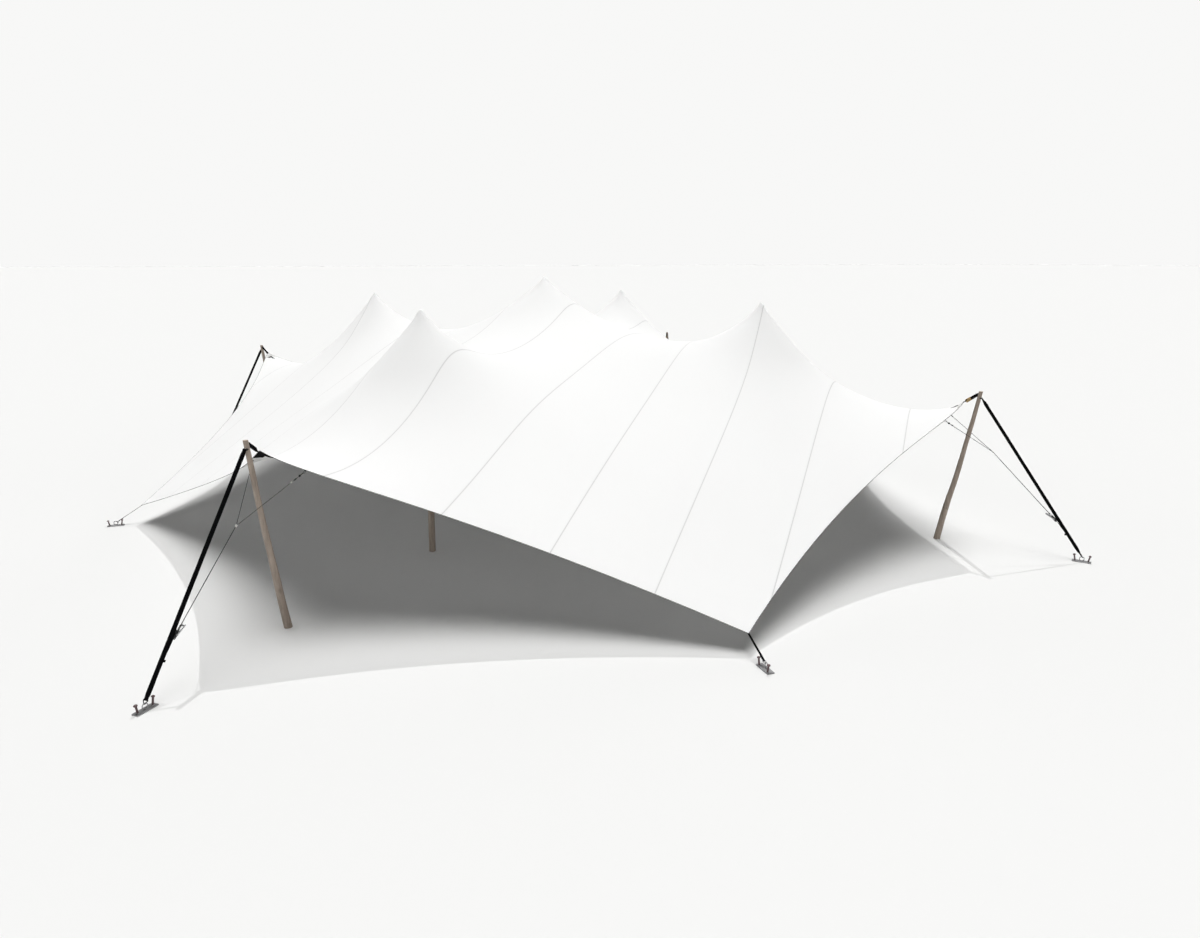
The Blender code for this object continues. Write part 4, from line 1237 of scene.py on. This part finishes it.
def draw_corner_tie(shape, x, y):
    """Strap from the corner post's bracket to the sheet's patched and banded corner.

    The strap folds round its pin on edge, turns flat by a smooth step and ends under the sheet.
    """
    tip = np.array(SHEET_CORNER) * np.array((x, y, 1.0))
    inward = unit(-tip * np.array((1.0, 1.0, 0.0)))
    side = np.array((-inward[1], inward[0], 0.0))
    post = unit(post_point(x, y, TIE_HEIGHT) - post_point(x, y, 0.0))
    toward = tip - post_point(x, y, TIE_HEIGHT)
    facing = unit(toward - post * (toward @ post))
    pin = post_bracket(shape, x, y, TIE_HEIGHT, facing, post, TIE_WIDTH)
    flat = [tip + inward * step for step in TIE_ENDS_AT]
    flat = np.array([sheet_under_at(point[0], point[1], 0.0078) for point in flat])
    ahead = unit(flat[0] - pin)
    off = unit(np.cross(post, ahead))
    lift = STRAP_PIN + TIE_THICKNESS / 2
    half = TIE_THICKNESS * 0.55
    back = line(pin + ahead * 0.105 - off * half, pin + ahead * lift * 2.5 - off * half, 5)
    over = arc(pin, -off, -ahead, lift, 0, math.pi, 11)
    away = line(pin + ahead * lift * 2.5 + off * half, flat[0], 16)
    bend = rounded(np.concatenate((away[-2:-1], flat)))
    path = np.concatenate((back, over, away[:-1], bend[1:]))
    share = (path - pin) @ ahead / np.linalg.norm(flat[0] - pin)
    share[: len(back) + len(over)] = 0.0
    turn = (eased((share - 0.55) / 0.45) * math.pi / 2)[:, None]
    across = post * np.cos(turn) + side * np.sin(turn)
    sweep(shape, path, oblong(TIE_WIDTH, TIE_THICKNESS, TIE_THICKNESS * 0.45, 2), across)
    if x > 0:
        sleeve = line(pin + ahead * 0.115 + off * half, pin + ahead * 0.205, 6)
        sweep(shape, sleeve, oblong(TIE_WIDTH + 0.006, 0.014, 0.006, 2), post, 2)
    corner_patch(shape, x, y)
    for band in CORNER_BANDS:
        edge_band(shape, x, y, *band)


def draw_leg(shape, clip, normal, junction):
    """Rope from a clamp under the sheet to the junction, with a shank, beads and a toggle."""
    pull = unit(junction - clip)
    turned(shape, clip + normal * 0.0125, -normal, CLAMP, 24, 1)
    loop = clip - normal * 0.011 + pull * 0.014
    around = unit(np.cross(pull, normal))
    ring(shape, loop, around, 0.0140, 0.0034, 1)
    sweep(shape, line(loop + pull * 0.010, loop + pull * 0.062), circle(0.0060, 12), around, 1)
    bead(shape, loop + pull * 0.072, 0.0145, pull, 1, 1.15)
    start = loop + pull * 0.080
    along = unit(junction - start)
    sweep(shape, line(start, junction), circle(ROPE_RADIUS, 10), around)
    for place, radius, long, look in LEG_BEADS:
        bead(shape, start + along * place, radius, along, look, long)


def draw_bridle(shape, x, y):
    """Y-shaped rope: two legs from the sheet's edges to a bead, and one run to the ratchet."""
    places = np.array(((CLIP_FROM_CORNER, CLIP_INSET), (CLIP_INSET, CLIP_FROM_CORNER)))
    u, v = (places / EDGE_LENGTHS / 2).T
    junction, tail_end, pull, inner, across = bridle_frame(x, y)
    tops, clips = mirrored(on_sheet(u, v), x, y), mirrored(on_sheet(u, v, np.full(2, 0.015)), x, y)
    for top, clip in zip(tops, clips):
        draw_leg(shape, clip, unit(top - clip), junction)
    bead(shape, junction, 0.0150, pull, 2, 1.25)
    foot = tail_end - pull * (RATCHET_BEFORE_TAIL + RATCHET_LENGTH / 2)
    end = foot - pull * 0.050
    sweep(shape, line(junction, end), circle(ROPE_RADIUS * 1.25, 10), inner)
    bead(shape, end, 0.0100, pull, 1, 1.6)
    corners = [foot - pull * 0.016 + pull * a + inner * b for a, b in ROPE_HOOK]
    sweep(shape, softened(corners), circle(HOOK_WIRE, 10), across, 1, loop=True)


def ratchet_outline():
    """Profile of a ratchet's side plate: a slot shape whose flanks swell by a sine wave."""
    turn = np.linspace(-math.pi / 2, math.pi / 2, 9)
    half, radius = RATCHET_LENGTH / 2, RATCHET_WIDTH / 2
    one = np.stack((half - radius + radius * np.cos(turn), radius * np.sin(turn)), axis=1)
    along = np.linspace(half - radius, radius - half, 13)[1:-1]
    swell = 0.06 * RATCHET_WIDTH * np.sin(math.pi * (along / (half - radius) + 1) / 2) ** 2
    flank = np.stack((along, radius + swell), axis=1)
    return np.concatenate((one, flank, -one, -flank))


def draw_ratchet(shape, x, y):
    """Ratchet: two side plates, a wound spool on a steel pin, end bars and the sewn tail."""
    _, tail_end, pull, inner, across = bridle_frame(x, y)
    centre = tail_end - pull * RATCHET_BEFORE_TAIL
    pivot = centre + inner * PIN_RISE
    outline = ratchet_outline()
    slim = outline * np.array((0.988, 0.95))
    for sign in (-1, 1):
        first, second = (centre + across * sign * face for face in RATCHET_SIDE)
        steps = np.array((0.0, 0.2, 0.8, 1.0))[:, None]
        sweep(shape, first * (1 - steps) + second * steps,
              np.array((slim, outline, outline, slim)), pull, ahead=across * sign)
        turned(shape, pivot + across * sign * 0.0148, across * sign, RATCHET_HUB, 24)
    cross_bar(shape, pivot, across, PIN_REACH, PIN_RADIUS, 20, 1)
    for place, radius in END_BARS:
        cross_bar(shape, centre + pull * place, across, END_BAR_REACH, radius, 14, 1)
    turned(shape, pivot - across * 0.0115, across, RATCHET_SPOOL, 28, 2)
    draw_tail(shape, x, y, centre, pivot)


def draw_tail(shape, x, y, centre, pivot):
    """Ratchet's webbing tail, which turns by a smooth step to its loop round the guy strap."""
    _, tail_end, pull, inner, across = bridle_frame(x, y)
    pin, low, _, down, _ = strap_frame(x, y)
    middle = guy_line(x, y)[0] + down * TAIL_AT
    run = np.array(((middle - pin) @ down,))
    flat, off = (row[0] for row in strap_turn(x, y, run, np.linalg.norm(low - pin)))
    off = off if off @ (tail_end - middle) > 0 else -off
    path = rounded(np.array((
        pivot - inner * 0.0145 + pull * 0.004, centre + pull * 0.046 - inner * 0.0070,
        centre + pull * 0.075, middle + off * 0.0060 - down * 0.060,
        middle + off * 0.0048 + down * 0.010)), 4)
    share = (path - centre) @ pull / RATCHET_BEFORE_TAIL
    flat = flat if flat @ across > 0 else -flat
    turn = eased((share - 0.25) / 0.5)[:, None]
    flats = unit(across * (1 - turn) + flat * turn)
    sweep(shape, path, oblong(*TAIL_WEB, 0.0016, 2), flats, 2)
    around = oblong(WEB_WIDTH + 0.007, 0.0150, 0.0060, 4)
    loop = middle + off * 0.0015 + flat * around[:, :1] + off * around[:, 1:]
    sweep(shape, loop, oblong(0.028, 0.0026, 0.0011, 2), down, 2, loop=True)


def draw_handle(shape, x, y):
    """Hinged ratchet handle: eyes round the pin, rounded arms and a grip between their ends."""
    _, tail_end, pull, inner, across = bridle_frame(x, y)
    pivot = tail_end - pull * RATCHET_BEFORE_TAIL + inner * PIN_RISE
    lean = math.radians(HANDLE_REST)
    reach = -pull * math.cos(lean) + inner * math.sin(lean)
    lift = np.cross(across, reach)
    place, depth = np.array(HANDLE_ARM).T
    profile = np.array([oblong(HANDLE_THICKNESS, wide, 0.0009, 2) for wide in depth])
    for sign in (-1, 1):
        middle = pivot + across * sign * HANDLE_SIDE
        eye = arc(middle, reach, lift, HANDLE_EYE, 0, 2 * math.pi, 29)[:-1]
        sweep(shape, eye, oblong(HANDLE_THICKNESS, 0.0060, 0.0008, 2), across, loop=True)
        sweep(shape, middle + reach * place[:, None], profile, across, ahead=reach)
    grip = pivot + reach * GRIP_AT
    width = HANDLE_SIDE - 0.0015
    turned(shape, grip - across * width, across, HANDLE_GRIP * np.array((width * 2, 1)), 24)
    for sign in (-1, 1):
        turned(shape, grip + across * sign * (HANDLE_SIDE + 0.0015), across * sign, HANDLE_BOSS, 18)
    cross_bar(shape, pivot + reach * SPACER_AT, across, width, SPACER_RADIUS, 12)


# The stage, the settings and the makers

def make_stage(sizes, colours):
    """Pale floor, a sky pale at its foot and bright overhead, a soft sun and the photo's camera."""
    scene = bpy.context.scene
    plan = np.array(((-1, -1), (1, -1), (1, 1), (-1, 1))) * sizes.floor_half
    shape = Shape()
    shape.add(np.insert(plan, 2, FLOOR_LEVEL, axis=1), [np.array(((0, 1, 2, 3),))], [plan], [0])
    floor = shape.build("studio_floor", [floor_material("studio_floor", colours.floor)])
    floor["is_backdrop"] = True

    world = bpy.data.worlds.new("studio_sky")
    scene.world = world
    world.use_nodes = True
    n = Nodes(world.node_tree)
    sky = n.tree.nodes["Background"]
    sky.inputs["Color"].default_value = (*colours.sky, 1.0)
    rise = n.add("SeparateXYZ", {0: n.add("TexCoord")["Generated"]})[2]
    foot = n.near(rise, *SKY_FADE, sizes.sky_strength)
    head = n.between(rise, *OVERHEAD_FADE, 0.0, sizes.overhead_strength)
    n.tree.links.new(n.plus(foot, head), sky.inputs["Strength"])

    lamp = bpy.data.lights.new("studio_sun", "SUN")
    lamp.energy = sizes.sun_strength
    lamp.angle = math.radians(sizes.sun_spread)
    sun = bpy.data.objects.new("studio_sun", lamp)
    sun.rotation_euler = Vector(sizes.sun_from).to_track_quat("Z", "Y").to_euler()
    scene.collection.objects.link(sun)

    lens = bpy.data.cameras.new("photo_camera")
    lens.sensor_width = 36.0
    lens.lens = sizes.lens
    lens.clip_end = 2000.0
    camera = bpy.data.objects.new("photo_camera", lens)
    camera.location = CAMERA_PLACE
    camera.rotation_euler = (math.radians(90 - CAMERA_DOWN), 0.0, math.radians(CAMERA_TURN))
    scene.collection.objects.link(camera)
    scene.camera = camera
    scene.view_settings.view_transform = "Standard"


def size_property(name, description, default, unit="LENGTH"):
    """Length in metres, or a plain number if its unit is NONE."""
    return bpy.props.FloatProperty(name=name, description=description, default=default, unit=unit)


class TentSizes(bpy.types.PropertyGroup):
    """Sizes that a user would change."""

    cloth_depth: size_property("Cloth depth", "Depth of the cloth", 0.003)
    edge_cord: size_property("Edge cord", "Radius of the cord in the sheet's hem", 0.0036)
    pole_rise: size_property(
        "Pole rise", "How far each inner pole's head stands above its solid's", 0.006)
    floor_half: size_property("Floor reach", "Half the floor's width", 600.0)
    sky_strength: size_property(
        "Sky strength", "Strength of the sky behind the tent", 0.937, "NONE")
    overhead_strength: size_property(
        "Overhead strength", "Strength of the light overhead", 7.65, "NONE")
    sun_strength: size_property("Sun strength", "Strength of the soft sun", 0.95, "NONE")
    sun_spread: size_property("Sun spread", "Width of the sun's disc in degrees", 0.4, "NONE")
    sun_from: bpy.props.FloatVectorProperty(
        name="Sun from", description="Direction towards the sun", default=(0.331, 0.552, 1.0),
        subtype="XYZ")
    lens: size_property("Lens", "Focal length in millimetres", 25.563, "NONE")


def colour_property(name, description, default):
    """Colour of a finish."""
    return bpy.props.FloatVectorProperty(
        name=name, description=description, default=default, subtype="COLOR", min=0.0, max=1.0)


class TentColours(bpy.types.PropertyGroup):
    """Colours that a user would change."""

    sheet: colour_property("Sheet", "Top of the cloth", (0.975, 0.975, 0.975))
    # The underside is the same cloth as the top, given a darker colour as painted shade: it stands
    # in for the shade under the sheet.
    underside_painted_shade: colour_property("Lining", "Underside of the cloth", (0.70, 0.70, 0.692))
    hem: colour_property("Hem", "Cord and tape at the sheet's edge", (0.035, 0.031, 0.027))
    wood_pale: colour_property("Pale wood", "Pale grain", (0.42, 0.35, 0.29))
    wood_dark: colour_property("Dark wood", "Dark grain", (0.24, 0.195, 0.16))
    cut_pale: colour_property("Pale cut", "Pale rings of the sawn ends", (0.58, 0.50, 0.40))
    cut_dark: colour_property("Dark cut", "Dark rings of the sawn ends", (0.38, 0.31, 0.24))
    webbing: colour_property("Webbing", "Black straps", (0.0018, 0.0018, 0.0020))
    thread: colour_property("Thread", "Sewing on the straps", (0.012, 0.012, 0.012))
    rope: colour_property("Rope", "Bridle cords", (0.030, 0.030, 0.031))
    steel: colour_property("Steel", "Galvanised plates and rings", (0.31, 0.31, 0.315))
    steel_worn: colour_property("Worn steel", "Bright rubs on the steel", (0.50, 0.50, 0.51))
    stake: colour_property("Stake", "Forged stakes", (0.115, 0.078, 0.080))
    stake_worn: colour_property("Worn stake", "Rubs on the stakes", (0.30, 0.22, 0.22))
    black_metal: colour_property("Black metal", "Painted hardware", (0.008, 0.008, 0.008))
    tab: colour_property("Tab", "Tan tabs at the right corners", (0.36, 0.25, 0.12))
    patch: colour_property("Patch", "Doubled cloth in the corners", (0.66, 0.66, 0.65))
    bead: colour_property("Bead", "Pale beads on the cords", (0.62, 0.61, 0.58))
    floor: colour_property("Floor", "Studio floor", (0.792, 0.792, 0.789))
    sky: colour_property("Sky", "Studio sky", (1.0, 1.0, 0.992))


def tent_looks():
    """The finishes, made once."""
    if "looks" not in SHARED:
        c = bpy.context.scene.tent_colours
        SHARED["looks"] = {
            "sheet_top": cloth_material("sheet_top", c.sheet, 0.70, 0.78),
            # The underside finish takes the darker colour, which is painted shade under the sheet.
            "sheet_under": cloth_material("sheet_under", c.underside_painted_shade, 0.80, 0.85),
            "patch": patch_material("doubled_cloth", c.patch, c.tab),
            "tab": webbing_material("tan_tab", c.tab, c.thread),
            "hem": moulded_material("hem_cord", c.hem, 0.7),
            "wood": wood_material("weathered_timber", c.wood_pale, c.wood_dark),
            "cut_wood": cut_wood_material("sawn_timber", c.cut_pale, c.cut_dark),
            "webbing": webbing_material("woven_webbing", c.webbing, c.thread),
            "sewn": webbing_material("sewn_webbing", c.webbing, c.thread, True),
            "rope": rope_material("braided_cord", c.rope),
            "steel": metal_material("galvanised_steel", c.steel, c.steel_worn, 0.42, 0.9, 500.0),
            "stake": metal_material("forged_stake", c.stake, c.stake_worn, 0.5, 0.5, 350.0),
            "black_metal": metal_material("black_painted_metal", c.black_metal, PAINT_WORN, 0.45,
                                          0.3, 600.0),
            "bead": moulded_material("pale_bead", c.bead, 0.45),
        }
    return SHARED["looks"]


def finished(operator, pieces):
    """Say that an operator is done, or fail loudly if nothing came of it."""
    if not pieces:
        raise RuntimeError(f"{operator.bl_label} made nothing")
    return {"FINISHED"}


class TENT_OT_stage(bpy.types.Operator):
    """Make the floor, the light and the camera"""

    bl_idname = "tent.stage"
    bl_label = "Studio"

    def execute(self, context):
        make_stage(context.scene.tent_sizes, context.scene.tent_colours)
        return {"FINISHED"}


class TENT_OT_canopy(bpy.types.Operator):
    """Make the stretched sheet with its hem cord"""

    bl_idname = "tent.canopy"
    bl_label = "Canopy"

    def execute(self, context):
        return finished(self, make_canopy())


class TENT_OT_inner_poles(bpy.types.Operator):
    """Make the inner poles and the centre pole"""

    bl_idname = "tent.inner_poles"
    bl_label = "Inner Poles"

    def execute(self, context):
        return finished(self, make_inner_poles())


class TENT_OT_corner_posts(bpy.types.Operator):
    """Make the leaning corner posts"""

    bl_idname = "tent.corner_posts"
    bl_label = "Corner Posts"

    def execute(self, context):
        return finished(self, make_corner_posts())


class TENT_OT_anchors(bpy.types.Operator):
    """Make the ground anchors"""

    bl_idname = "tent.anchors"
    bl_label = "Ground Anchors"

    def execute(self, context):
        return finished(self, make_each({**CORNERS, **SIDES}, "ground_anchor", "steel", "anchor",
                                        ("steel", "stake"), draw_anchor))


class TENT_OT_guys(bpy.types.Operator):
    """Make the guy straps"""

    bl_idname = "tent.guys"
    bl_label = "Guy Straps"

    def execute(self, context):
        return finished(self, make_each(CORNERS, "guy_webbing", "webbing", "guy_strap",
                                        ("webbing", "black_metal"), draw_guy))


class TENT_OT_hold_downs(bpy.types.Operator):
    """Make the straps at the sheet's low tips"""

    bl_idname = "tent.hold_downs"
    bl_label = "Low Straps"

    def execute(self, context):
        return finished(self, make_each(SIDES, "low_strap", "webbing", "hold_down",
                                        ("webbing", "steel"), draw_hold_down))


class TENT_OT_corner_ties(bpy.types.Operator):
    """Make the straps and patches at the sheet's high corners"""

    bl_idname = "tent.corner_ties"
    bl_label = "Corner Straps"

    def execute(self, context):
        return finished(self, make_each(CORNERS, "corner_webbing", "webbing", "corner_tie",
                                        ("sewn", "black_metal", "tab", "patch"), draw_corner_tie))


class TENT_OT_bridles(bpy.types.Operator):
    """Make the ropes from the sheet's edges to the ratchets"""

    bl_idname = "tent.bridles"
    bl_label = "Bridles"

    def execute(self, context):
        return finished(self, make_each(CORNERS, "bridle_rope", "rope", "bridle",
                                        ("rope", "black_metal", "bead"), draw_bridle))


class TENT_OT_ratchets(bpy.types.Operator):
    """Make the ratchets' bodies and tails"""

    bl_idname = "tent.ratchets"
    bl_label = "Ratchets"

    def execute(self, context):
        return finished(self, make_each(CORNERS, "ratchet_body", "black_metal", "ratchet",
                                        ("black_metal", "steel", "webbing"), draw_ratchet))


class TENT_OT_handles(bpy.types.Operator):
    """Make the ratchets' hinged handles"""

    bl_idname = "tent.handles"
    bl_label = "Ratchet Handles"

    def execute(self, context):
        return finished(self, make_each(CORNERS, "ratchet_lever", "steel", "ratchet_handle",
                                        ("steel",), draw_handle, "handle_{}"))


OPERATORS = (TENT_OT_stage, TENT_OT_canopy, TENT_OT_inner_poles, TENT_OT_corner_posts,
             TENT_OT_anchors, TENT_OT_guys, TENT_OT_hold_downs, TENT_OT_corner_ties,
             TENT_OT_bridles, TENT_OT_ratchets, TENT_OT_handles)


class TENT_PT_looks(bpy.types.Panel):
    """List the makers and their sizes and colours"""

    bl_idname = "TENT_PT_looks"
    bl_label = "Stretch Tent"
    bl_space_type = "VIEW_3D"
    bl_region_type = "UI"
    bl_category = "Stretch Tent"

    def draw(self, context):
        for operator in OPERATORS:
            self.layout.operator(operator.bl_idname)
        for group in (context.scene.tent_sizes, context.scene.tent_colours):
            for name in group.__annotations__:
                self.layout.prop(group, name)


CLASSES = (TentSizes, TentColours, *OPERATORS, TENT_PT_looks)


def register():
    """Add the classes and the scene's settings."""
    for item in CLASSES:
        bpy.utils.register_class(item)
    bpy.types.Scene.tent_sizes = bpy.props.PointerProperty(type=TentSizes)
    bpy.types.Scene.tent_colours = bpy.props.PointerProperty(type=TentColours)


def unregister():
    """Take the classes and the scene's settings away."""
    del bpy.types.Scene.tent_colours
    del bpy.types.Scene.tent_sizes
    for item in reversed(CLASSES):
        bpy.utils.unregister_class(item)


def main():
    """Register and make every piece."""
    register()
    bpy.ops.tent.stage()
    bpy.ops.tent.canopy()
    bpy.ops.tent.inner_poles()
    bpy.ops.tent.corner_posts()
    bpy.ops.tent.anchors()
    bpy.ops.tent.guys()
    bpy.ops.tent.hold_downs()
    bpy.ops.tent.corner_ties()
    bpy.ops.tent.bridles()
    bpy.ops.tent.ratchets()
    bpy.ops.tent.handles()
    boxes = {"cad": CAD_BOX, "visual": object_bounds()}
    boxes = {name: [list(corner) for corner in box] for name, box in boxes.items()}


if __name__ == "__main__":
    main()
